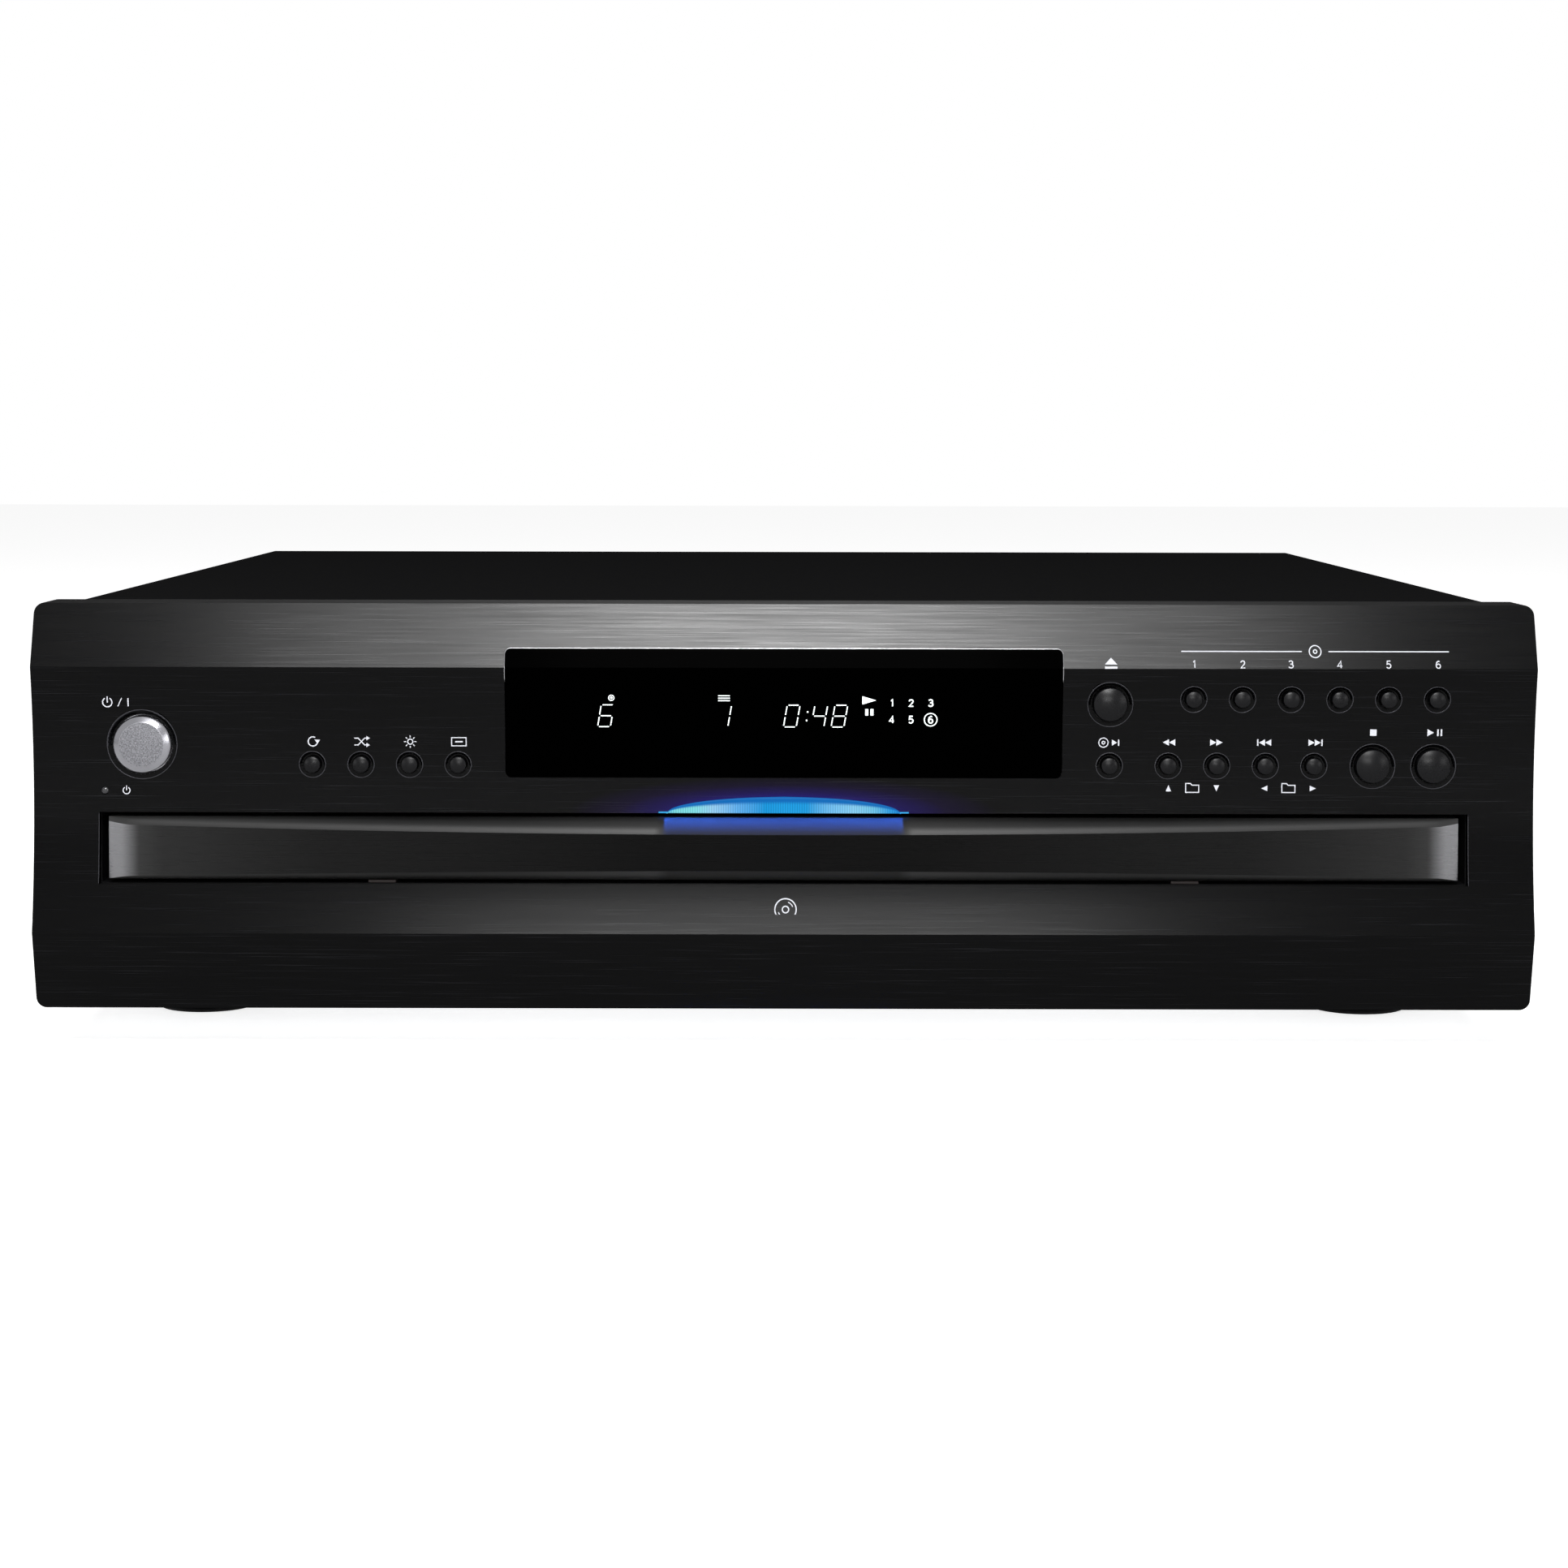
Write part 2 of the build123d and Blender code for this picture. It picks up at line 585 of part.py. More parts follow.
def sub_panel():
    """Moulded plate behind the panel, with the tray tunnel, the pads and a guide hole for each button."""
    half = HALF_WIDTH - PANEL_WALL - 0.3
    bottom = PANEL_BOTTOM + PANEL_WALL + 0.3
    top = PANEL_TOP - PANEL_WALL - 0.3
    plate_y = FRONT + SUB_DEPTH
    plate = rounded_bar(half, bottom, top, 1.0, plate_y, PANEL_BACK - 1)
    pocket = rounded_bar(half - SUB_WALL, bottom + SUB_WALL, top - SUB_WALL, 0.5,
                         plate_y + SUB_THICKNESS, PANEL_BACK)
    tunnel = block(-SLOT_HALF - TUNNEL_WALL, SLOT_HALF + TUNNEL_WALL, FRONT + TUNNEL_START,
                   FRONT + TUNNEL_END, SLOT_BOTTOM - TUNNEL_WALL, SLOT_TOP + TUNNEL_WALL)
    body = plate - pocket + tunnel
    body -= block(-SLOT_HALF, SLOT_HALF, FRONT, PANEL_BACK + 20, SLOT_BOTTOM, SLOT_TOP)
    for side in (-1, 1):
        body += block(side * PAD_X - PAD_WIDTH / 2, side * PAD_X + PAD_WIDTH / 2, FRONT + TUNNEL_START,
                      FRONT + TUNNEL_END, SLOT_BOTTOM - 0.2, SLOT_BOTTOM + PAD_HEIGHT)
    tube_mid = (WINDOW_BOTTOM + WINDOW_TOP) / 2
    body -= block(-TUBE_WIDTH / 2 - 1, TUBE_WIDTH / 2 + 1, FRONT, PANEL_BACK,
                  tube_mid - TUBE_HEIGHT / 2 - 1, tube_mid + TUBE_HEIGHT / 2 + 1)
    for _, x, z, diameter in CONTROLS:
        body -= rod_y(x, z, FRONT, PANEL_BACK, diameter * 0.3 + 0.3)
    body -= rod_y(LAMP_X, LAMP_Z, FRONT, PANEL_BACK, LAMP_D / 2 + 0.3)
    return body


def display_tube():
    """Sealed glass display behind the window."""
    mid = (WINDOW_BOTTOM + WINDOW_TOP) / 2
    front = FRONT + SUB_DEPTH + 1.5
    body = block(-TUBE_WIDTH / 2, TUBE_WIDTH / 2, front, front + TUBE_THICKNESS, mid - TUBE_HEIGHT / 2,
                 mid + TUBE_HEIGHT / 2)
    tip = rod_x(front + TUBE_THICKNESS / 2 + 0.5, mid, TUBE_WIDTH / 2, TUBE_WIDTH / 2 + 3, 1.5)
    return chamfer(body.edges().filter_by(Axis.Z), 0.8) + tip


def front_board():
    """Board behind the controls: a switch behind each button, the lamp and the display's holder."""
    front = board_front()
    half = HALF_WIDTH - 12
    bottom = SLOT_TOP + TUNNEL_WALL + 1.5
    body = block(-half, half, front, front + FRONT_BOARD_THICKNESS, bottom, COVER_TOP - 3)
    for _, x, z, diameter in CONTROLS:
        reach = SWITCH_SIZE / 2
        body += block(x - 3, x + 3, front - reach + 0.8, front, z - 3, z + 3)
        body += rod_y(x, z, front - reach, front - reach + 1, 1.6)
    mid = (WINDOW_BOTTOM + WINDOW_TOP) / 2
    tube_back = FRONT + SUB_DEPTH + 1.5 + TUBE_THICKNESS
    for side in (-1, 1):
        x = side * TUBE_WIDTH * 0.42
        body += block(x - 4, x + 4, tube_back, front, mid - 8, mid + 8)
    lamp_tip = FRONT + face_depth(LAMP_Z) + 0.3
    body += rod_y(LAMP_X, LAMP_Z, lamp_tip, front, LAMP_D / 2)
    return body


def tray_front():
    """Bowed bar across the tray: its face bulges forward and its top and underside slope to it."""
    face_y = FRONT + BEZEL_SETBACK
    back_y = face_y + BEZEL_THICKNESS
    shoulder = BEZEL_HALF - BEZEL_END
    end_y = face_y + BEZEL_BULGE + BEZEL_END_SWEEP
    shoulder_y = face_y + BEZEL_BULGE
    plan = make_face([
        ThreePointArc((-shoulder, shoulder_y), (0, face_y), (shoulder, shoulder_y)),
        Polyline((shoulder, shoulder_y), (BEZEL_HALF, end_y), (BEZEL_HALF, back_y), (-BEZEL_HALF, back_y),
                 (-BEZEL_HALF, end_y), (-shoulder, shoulder_y))])
    reach = BEZEL_BULGE + BEZEL_END_SWEEP + 0.2
    low = BEZEL_MID - BEZEL_HEIGHT / 2
    high = BEZEL_MID + BEZEL_HEIGHT / 2
    narrow = BEZEL_HEIGHT / 2 - reach * BEZEL_SLOPE
    section = make_face(Polyline((face_y, BEZEL_MID - narrow), (face_y + reach, low), (back_y, low),
                                 (back_y, high), (face_y + reach, high), (face_y, BEZEL_MID + narrow),
                                 close=True))
    body = along_z(plan, low, high) & along_x(section, -BEZEL_HALF, BEZEL_HALF)
    pocket_y = end_y + BEZEL_WALL
    bays = 6
    bay = (2 * BEZEL_HALF - BEZEL_WALL) / bays
    for count in range(bays):
        x0 = -BEZEL_HALF + BEZEL_WALL + count * bay
        body -= block(x0, x0 + bay - BEZEL_WALL, pocket_y, back_y + 1, low + BEZEL_WALL, high - BEZEL_WALL)
    return body


def lift_slot(centre_y, width, end_y):
    """A slot with a round inner end, open to the back."""
    half = width / 2
    return Pos(0, centre_y) * Circle(half) + Pos(0, (centre_y + end_y) / 2) * Rectangle(
        width, end_y - centre_y)


def belt_run(grow):
    """Outline round the two pulleys, grown by a distance."""
    dx = MOTOR_X - GEAR_X
    dy = MOTOR_Y - GEAR_Y
    span = hypot(dx, dy)
    along = (dx / span, dy / span)
    lean = (BELT_R - MOTOR_PULLEY_R) / span
    across = sqrt(1 - lean**2)
    corners = []
    big_r = BELT_R + grow
    small_r = MOTOR_PULLEY_R + grow
    for side in (1, -1):
        normal = (along[0] * lean - side * along[1] * across, along[1] * lean + side * along[0] * across)
        big = (GEAR_X + normal[0] * big_r, GEAR_Y + normal[1] * big_r)
        small = (MOTOR_X + normal[0] * small_r, MOTOR_Y + normal[1] * small_r)
        corners.append((big, small))
    far_big = (GEAR_X - along[0] * big_r, GEAR_Y - along[1] * big_r)
    far_small = (MOTOR_X + along[0] * small_r, MOTOR_Y + along[1] * small_r)
    (big_a, small_a), (big_b, small_b) = corners
    return make_face([Line(big_a, small_a), ThreePointArc(small_a, far_small, small_b),
                      Line(small_b, big_b), ThreePointArc(big_b, far_big, big_a)])


def drawer_tray():
    """Drawer: a floor with the rack and the belt trough, and on it the walls of the round pocket, the
    corner decks, the runners, the track and the spigot."""
    front = TRAY_FRONT_Y
    body = block(-TRAY_HALF, TRAY_HALF, front, TRAY_REAR, TRAY_BOTTOM, TRAY_TOP)
    body -= rod_z(0, CENTRE_Y, TRAY_INNER, TRAY_TOP + 1, POCKET_R)
    spine = TRAY_HALF - RACK_INSET - RACK_WIDTH - 3.0
    deck = 2.0
    reach_y = TRAY_REAR - TRAY_WALL - CENTRE_Y
    back_y = CENTRE_Y - front - TRAY_WALL
    corner = Pos(0, CENTRE_Y + (reach_y - back_y) / 2) * Rectangle(2 * spine, reach_y + back_y)
    corner -= Pos(0, CENTRE_Y) * Circle(POCKET_R + TRAY_WALL)
    body -= along_z(corner, TRAY_BOTTOM - 1, TRAY_TOP - deck)
    for side in (-1, 1):
        x0, x1 = sorted((side * (TRAY_HALF - 0.5), side * RUNNER_HALF))
        body += block(x0, x1, front + 6, TRAY_REAR - 2, RUNNER_Z, RUNNER_Z + RUNNER_THICKNESS)
        x = side * PAD_X
        body += block(x - 1.5, x + 1.5, front, CENTRE_Y + POCKET_R * 0.7, SLOT_BOTTOM + PAD_HEIGHT + 0.2,
                      TRAY_BOTTOM + 0.2)
    rack_x = -(TRAY_HALF - RACK_INSET)
    for tooth in rack_outline(RACK_MODULE, RACK_START, RACK_END, RACK_TOOTH, TRAY_BOTTOM, -1):
        body += along_x(tooth, rack_x, rack_x + RACK_WIDTH)
    trough = belt_run(BELT_THICKNESS + 3.0) & (Pos(0, CENTRE_Y) * Circle(POCKET_R + TRAY_WALL))
    body += along_z(trough, TROUGH_Z, TRAY_INNER - 0.2)
    run = belt_run(BELT_THICKNESS + 1.6)
    body -= along_z(run, TROUGH_Z + TROUGH_FLOOR, TRAY_INNER + 0.1)
    track = Circle(TRACK_R + 1.0) - Circle(TRACK_R - 1.0)
    track = Pos(0, CENTRE_Y) * track
    track -= belt_run(BELT_THICKNESS + 3.0)
    body += along_z(track, TRAY_INNER - 0.1, CAROUSEL_BOTTOM - 0.2)
    body += rod_z(GEAR_X, GEAR_Y, TROUGH_Z, RING_BOTTOM + RING_HEIGHT - 0.6, 1.5)
    body += rod_z(0, CENTRE_Y, TRAY_BOTTOM, CAROUSEL_BOTTOM - 0.2, HUB_R)
    body += rod_z(0, CENTRE_Y, CAROUSEL_BOTTOM - 0.5, WELL_Z + WELL_DEPTH - 3.0, SPIGOT_R)
    body -= along_z(lift_slot(STATION_Y, LIFT_SLOT, TRAY_REAR + 1), SLOT_BOTTOM, TRAY_TOP + 1)
    body -= rod_z(MOTOR_X, MOTOR_Y, TRAY_TOP - deck - 1, TRAY_TOP + 1, 2.0)
    floor_zone = block(-HALF_WIDTH, HALF_WIDTH, front - 1, TRAY_REAR + 1, SLOT_BOTTOM, TRAY_INNER)
    return two_mouldings(body, floor_zone)


def two_mouldings(body, lower_zone):
    """A body in two joined mouldings: what lies in the lower zone, and what stands on it."""
    lower = body & lower_zone
    upper = body - lower_zone
    return Compound([*lower.solids(), *upper.solids()])


def carousel():
    """Turning disc carrier: a floor with stepped wells, pickup slots and the gear ring under it, and on it
    the hollow lands between the wells."""
    body = rod_z(0, 0, CAROUSEL_BOTTOM, CAROUSEL_TOP, CAROUSEL_R)
    wall = LAND_WALL
    lands = Circle(CAROUSEL_R - wall) - Circle(RING_R + 8)
    middle = Circle(STATION_R - WELL_R - wall) - Circle(HUB_R + wall)
    for count in range(WELLS):
        angle = 90 + count * 360 / WELLS
        centre = Rot(0, 0, angle - 90) * Pos(0, STATION_R)
        body -= Rot(0, 0, angle - 90) * Pos(0, STATION_R, WELL_Z + WELL_DEPTH / 2) * Cylinder(
            WELL_R, WELL_DEPTH)
        body -= Rot(0, 0, angle - 90) * Pos(0, STATION_R, WELL_Z) * Cylinder(
            SMALL_DISC_D / 2 + WELL_CLEARANCE, 2 * SMALL_WELL_DEPTH)
        body -= Rot(0, 0, angle - 90) * along_z(lift_slot(STATION_R, LIFT_SLOT, CAROUSEL_R + 5),
                                                CAROUSEL_BOTTOM - 1, CAROUSEL_TOP + 1)
        lands -= centre * Circle(WELL_R + wall)
    body -= along_z(lands, CAROUSEL_BOTTOM - 1, CAROUSEL_TOP - wall)
    body -= along_z(middle, CAROUSEL_BOTTOM - 1, CAROUSEL_TOP - wall)
    body += along_z(gear_outline(RING_MODULE, RING_TEETH, GEAR_ANGLE, RING_R - 5.0), RING_BOTTOM,
                    CAROUSEL_BOTTOM + 0.2)
    body -= rod_z(0, 0, CAROUSEL_BOTTOM - 1, CAROUSEL_TOP - 3.0, SPIGOT_R + 0.2)
    body -= rod_z(0, 0, CAROUSEL_TOP - 3.0, CAROUSEL_TOP + 1, HUB_R - 1.0)
    floor_zone = rod_z(0, 0, RING_BOTTOM - 1, WELL_Z, CAROUSEL_R - CAROUSEL_RIM)
    floor_zone -= rod_z(0, 0, RING_BOTTOM - 2, WELL_Z + 1, STATION_R - WELL_R - 2 * wall)
    return two_mouldings(Pos(0, CENTRE_Y, 0) * body, Pos(0, CENTRE_Y, 0) * floor_zone)


def hub_cap():
    """Cap on the drawer's spigot that keeps the carousel down."""
    top = CAROUSEL_TOP - 0.6
    points = [(0, CAROUSEL_TOP - 2.8), (HUB_R - 1.4, CAROUSEL_TOP - 2.8), (HUB_R - 1.4, top - 0.6),
              (HUB_R - 2.4, top), (3.5, top), (3.5, top - 0.9), (0, top - 0.9)]
    return turned_z(points, 0, CENTRE_Y)


def carousel_gear():
    """Pulley and pinion in one moulding, between the belt and the carousel's gear ring."""
    phase = meshing_phase(GEAR_ANGLE, RING_TEETH, GEAR_ANGLE, PINION_TEETH)
    pinion = along_z(gear_outline(RING_MODULE, PINION_TEETH, phase, 1.7), RING_BOTTOM - 0.5,
                     RING_BOTTOM + RING_HEIGHT - 0.5)
    rim = BELT_R + 0.9
    low = BELT_Z - 0.15
    high = BELT_Z + BELT_WIDTH + 0.15
    pulley = turned_z([(1.7, low - 0.1), (BELT_R - 0.1, low - 0.1), (BELT_R - 0.1, high),
                       (rim, high), (rim, RING_BOTTOM - 0.4), (1.7, RING_BOTTOM - 0.4)], 0, 0)
    return Pos(GEAR_X, GEAR_Y, 0) * (pinion + pulley)


def carousel_motor_pulley():
    """Small pulley on the carousel motor's shaft."""
    low = BELT_Z - 0.35
    high = BELT_Z + BELT_WIDTH + 0.1
    points = [(1.05, low), (MOTOR_PULLEY_R + 1.0, low), (MOTOR_PULLEY_R + 1.0, low + 0.2),
              (MOTOR_PULLEY_R - 0.1, BELT_Z - 0.1), (MOTOR_PULLEY_R - 0.1, high), (1.05, high)]
    return turned_z(points, MOTOR_X, MOTOR_Y)


def carousel_belt():
    """Flat belt from the motor pulley to the carousel gear."""
    return along_z(belt_run(BELT_THICKNESS) - belt_run(0.05), BELT_Z, BELT_Z + BELT_WIDTH)


def carousel_motor():
    """Flat motor under the rear corner deck of the drawer."""
    top = TRAY_TOP - 2.0
    low = BELT_Z + BELT_WIDTH + 0.5
    points = [(0, low - 3.0), (1.0, low - 3.0), (1.0, low - 0.2), (3.0, low - 0.2), (3.0, low + 0.4),
              (FLAT_MOTOR_R - 1, low + 0.4), (FLAT_MOTOR_R, low + 1.4), (FLAT_MOTOR_R, top), (1.9, top),
              (1.9, top + 1.5), (0, top + 1.5)]
    return turned_z(points, MOTOR_X, MOTOR_Y)


def guide_rail(side):
    """Channel that a runner of the drawer slides in. The left one carries the loading gears."""
    base = FLOOR_TOP
    groove = RUNNER_Z - GROOVE_CLEARANCE
    top = RUNNER_Z + RUNNER_THICKNESS + GROOVE_CLEARANCE
    outer = RAIL_INNER + RAIL_WALL
    inner = TRAY_HALF + 1.5
    section = Polyline((RAIL_INNER, base), (outer + RAIL_FOOT, base), (outer + RAIL_FOOT, base + RAIL_BASE),
                       (outer, base + RAIL_BASE), (outer, top + LIP), (inner, top + LIP), (inner, top),
                       (RAIL_INNER, top), (RAIL_INNER, groove), (inner, groove), (inner, groove - LIP),
                       (RAIL_INNER, groove - LIP), close=True)
    y0 = PANEL_BACK + 4
    y1 = TRAY_REAR - 4
    body = along_y(make_face(section), y0, y1)
    ribs = 5
    for count in range(ribs):
        y = y0 + 10 + count * (y1 - y0 - 20) / (ribs - 1)
        foot = (outer + RAIL_FOOT - 1, base + 0.5)
        gusset = Polyline((outer - 0.5, base + 0.5), foot, (outer - 0.5, groove), close=True)
        body += along_y(make_face(gusset), y - 1, y + 1)
    if side > 0:
        return body
    body = mirror(body, Plane.YZ)
    reach = RACK_X + RACK_WIDTH + 0.4
    body += rod_x(IDLER_Y, IDLER_Z, -RAIL_INNER - 0.5, RACK_X - 0.6, 4.0)
    body += rod_x(IDLER_Y, IDLER_Z, -RAIL_INNER - 0.5, reach, GEAR_PIN_R)
    body += rod_x(GEAR_B_Y, GEAR_B_Z, -RAIL_INNER - 0.5, BIG_GEAR_X - 0.5, 4.0)
    body += rod_x(GEAR_B_Y, GEAR_B_Z, -RAIL_INNER - 0.5, reach, GEAR_PIN_R)
    cradle_x0 = MOTOR_FRONT + 4
    cradle_x1 = MOTOR_FRONT + MOTOR_LENGTH - 4
    body += block(-RAIL_INNER - 0.5, cradle_x1, LOAD_MOTOR_Y + 4, LOAD_MOTOR_Y + MOTOR_R + 2, base, base + 2)
    body += block(cradle_x0, cradle_x1, LOAD_MOTOR_Y - MOTOR_R - 2, LOAD_MOTOR_Y + MOTOR_R + 2, base,
                  GEAR_B_Z - 3)
    body -= rod_x(LOAD_MOTOR_Y, GEAR_B_Z, cradle_x0 - 1, cradle_x1 + 1, MOTOR_R + 0.1)
    return body


def loading_idler():
    """Pinion that drives the drawer's rack."""
    gear = along_x(gear_outline(RACK_MODULE, IDLER_TEETH, IDLER_PHASE, GEAR_PIN_R + 0.15), 0, RACK_WIDTH)
    return Pos(RACK_X, IDLER_Y, IDLER_Z) * gear


def loading_gear():
    """Double gear between the motor and the idler."""
    direction = gear_b_direction()
    phase = meshing_phase(IDLER_PHASE, IDLER_TEETH, direction, SMALL_GEAR_TEETH)
    bore = GEAR_PIN_R + 0.15
    small = along_x(gear_outline(RACK_MODULE, SMALL_GEAR_TEETH, phase, bore), RACK_X - 1.2,
                    RACK_X + RACK_WIDTH)
    big = along_x(gear_outline(RACK_MODULE, BIG_GEAR_TEETH, phase, bore), BIG_GEAR_X, RACK_X - 1.0)
    return Pos(0, GEAR_B_Y, GEAR_B_Z) * (small + big)


def gear_b_direction():
    """Direction from the idler to the double gear, in degrees from +Y towards +Z."""
    return degrees(atan2(GEAR_B_Z - IDLER_Z, GEAR_B_Y - IDLER_Y))


def loading_motor_pinion():
    """Pinion on the loading motor's shaft."""
    phase_b = meshing_phase(IDLER_PHASE, IDLER_TEETH, gear_b_direction(), SMALL_GEAR_TEETH)
    phase = meshing_phase(phase_b, BIG_GEAR_TEETH, 0, MOTOR_PINION_TEETH)
    gear = along_x(gear_outline(RACK_MODULE, MOTOR_PINION_TEETH, phase, 1.05), BIG_GEAR_X, RACK_X - 1.0)
    return Pos(0, LOAD_MOTOR_Y, GEAR_B_Z) * gear


def loading_motor():
    """Can motor lying in the cradle of the left rail."""
    body = rod_x(LOAD_MOTOR_Y, GEAR_B_Z, MOTOR_FRONT, MOTOR_FRONT + MOTOR_LENGTH, MOTOR_R)
    body = chamfer(body.edges(), 1.0)
    body += rod_x(LOAD_MOTOR_Y, GEAR_B_Z, MOTOR_FRONT - 1.5, MOTOR_FRONT, 3.0)
    return body + rod_x(LOAD_MOTOR_Y, GEAR_B_Z, BIG_GEAR_X, MOTOR_FRONT, 1.0)


def pickup_frame():
    """Moulded pickup base with a round front end, side walls, rod bosses and two lift pins."""
    plan = lift_slot(STATION_Y, PICKUP_WIDTH, PICKUP_REAR)
    body = along_z(plan, PLATE_Z, PLATE_Z + PLATE_THICKNESS)
    top = ROD_Z + 4.0
    walls = plan - lift_slot(STATION_Y, PICKUP_WIDTH - 2 * SIDE_WALL, PICKUP_REAR - SIDE_WALL)
    body += along_z(walls, PLATE_Z + PLATE_THICKNESS - 0.1, top)
    front_y = SLED_Y - 3.2
    for side in (-1, 1):
        x = side * ROD_X
        body += block(x - 2.2, x + 2.2, front_y, front_y + 2.4, PLATE_Z + 1, ROD_Z + 2.6)
        leg_x = side * PIN_X
        body += block(leg_x - 2.5, leg_x + 2.5, LEG_Y, LEG_Y + 5, PIN_Z - 2.5, PLATE_Z + 1)
        body += rod_y(leg_x, PIN_Z, CAM_FRONT - 0.6, LEG_Y + 1, PIN_R)
        body -= rod_y(x, ROD_Z, front_y - 1, PICKUP_REAR + 1, ROD_R + 0.05)
    body -= rod_z(0, STATION_Y, PLATE_Z - 1, top + 1, 4.0)
    return body


def spindle_motor():
    """Flat motor under the pickup plate, with the shaft that carries the turntable."""
    shaft_top = SEAT_Z - TURNTABLE_THICKNESS + 1.5
    points = [(0, PLATE_Z - 10), (11, PLATE_Z - 10), (12, PLATE_Z - 9), (12, PLATE_Z - 0.2),
              (3.5, PLATE_Z - 0.2), (3.5, PLATE_Z + 4), (1.0, PLATE_Z + 4), (1.0, shaft_top), (0, shaft_top)]
    return turned_z(points, 0, STATION_Y)


def turntable():
    """Platter with its centring cone."""
    low = SEAT_Z - TURNTABLE_THICKNESS
    cone_top = SEAT_Z + CONE_HEIGHT
    shaft_top = SEAT_Z - TURNTABLE_THICKNESS + 1.7
    points = [(1.15, low - 3.0), (4.5, low - 3.0), (4.5, low), (TURNTABLE_R - 1, low),
              (TURNTABLE_R, low + 1), (TURNTABLE_R, SEAT_Z), (CONE_R, SEAT_Z), (CONE_R, SEAT_Z + 0.9),
              (CONE_R - 1.4, cone_top), (2.0, cone_top), (2.0, shaft_top), (1.15, shaft_top)]
    return turned_z(points, 0, STATION_Y)


def guide_rods():
    """Two steel rods that the laser sled rides on."""
    y0 = SLED_Y - 3.0
    y1 = PICKUP_REAR - 0.2
    return rod_y(-ROD_X, ROD_Z, y0, y1, ROD_R) + rod_y(ROD_X, ROD_Z, y0, y1, ROD_R)


def laser_sled():
    """Sled with two rod bores and its round lens."""
    half = PICKUP_HALF - SIDE_WALL - 1.0
    body = block(-half, half, SLED_Y, SLED_Y + SLED_LENGTH, SLED_Z, ROD_Z + 3.4)
    body = chamfer(body.edges().filter_by(Axis.Z), 1.5)
    lens_y = SLED_Y + SLED_LENGTH / 2
    top = ROD_Z + 3.4
    body += block(-7, 7, lens_y - 6, lens_y + 6, top - 0.5, top + 2.5)
    body += rod_z(0, lens_y, top + 2, SEAT_Z - 1.4, 2.2)
    for side in (-1, 1):
        body -= rod_y(side * ROD_X, ROD_Z, SLED_Y - 1, SLED_Y + SLED_LENGTH + 1, ROD_R + 0.12)
    return body


def cam_slider():
    """Plate with two rising slots for the lift pins, and a rack bar beside it."""
    left = -PIN_X - PIN_R - 7.0
    right = PIN_X + LIFT + PIN_R + 7.0
    body = block(left, right, CAM_FRONT, CAM_BACK, CAM_LOW, CAM_HIGH)
    slot_r = PIN_R + CAM_CLEARANCE
    for side in (-1, 1):
        start = (side * PIN_X, PIN_Z)
        end = (start[0] + LIFT, PIN_Z + LIFT)
        offset = slot_r / sqrt(2)
        corners = [(start[0] - offset, start[1] + offset), (start[0] + offset, start[1] - offset),
                   (end[0] + offset, end[1] - offset), (end[0] - offset, end[1] + offset)]
        run = make_face(Polyline(*corners, close=True))
        body -= along_y(run, CAM_FRONT - 1, CAM_BACK + 1)
        for x, z in (start, end):
            body -= rod_y(x, z, CAM_FRONT - 1, CAM_BACK + 1, slot_r)
    rack_right = LIFT_GEAR_X + LIFT + 9
    body += block(right - 1, rack_right, CAM_FRONT - 2, CAM_BACK, CAM_LOW, RACK_BAR_Z)
    rack_left = LIFT_GEAR_X - 8
    for tooth in rack_outline(RACK_MODULE, rack_left, rack_right, LIFT_GEAR_X + pi * RACK_MODULE / 2,
                              RACK_BAR_Z, 1):
        body += along_y(tooth, CAM_FRONT - 2, CAM_BACK)
    return body


def lift_gear():
    """Gear on the lift motor's shaft that drives the cam slider."""
    gear = along_y(gear_outline(RACK_MODULE, LIFT_GEAR_TEETH, -90, 1.6), CAM_FRONT - 2, CAM_BACK)
    return Pos(LIFT_GEAR_X, 0, LIFT_GEAR_Z) * gear


def lift_motor():
    """Geared motor behind the tower's wing; its shaft passes through the wing."""
    back = TOWER_FRONT + TOWER_WALL
    body = block(LIFT_GEAR_X - 10, LIFT_GEAR_X + 10, back, back + 14, LIFT_GEAR_Z - 9, LIFT_GEAR_Z + 9)
    body = chamfer(body.edges().filter_by(Axis.Y), 2.0)
    body += rod_y(LIFT_GEAR_X, LIFT_GEAR_Z, back + 14, back + 32, 8.0)
    return body + rod_y(LIFT_GEAR_X, LIFT_GEAR_Z, CAM_FRONT - 2, back, 1.5)


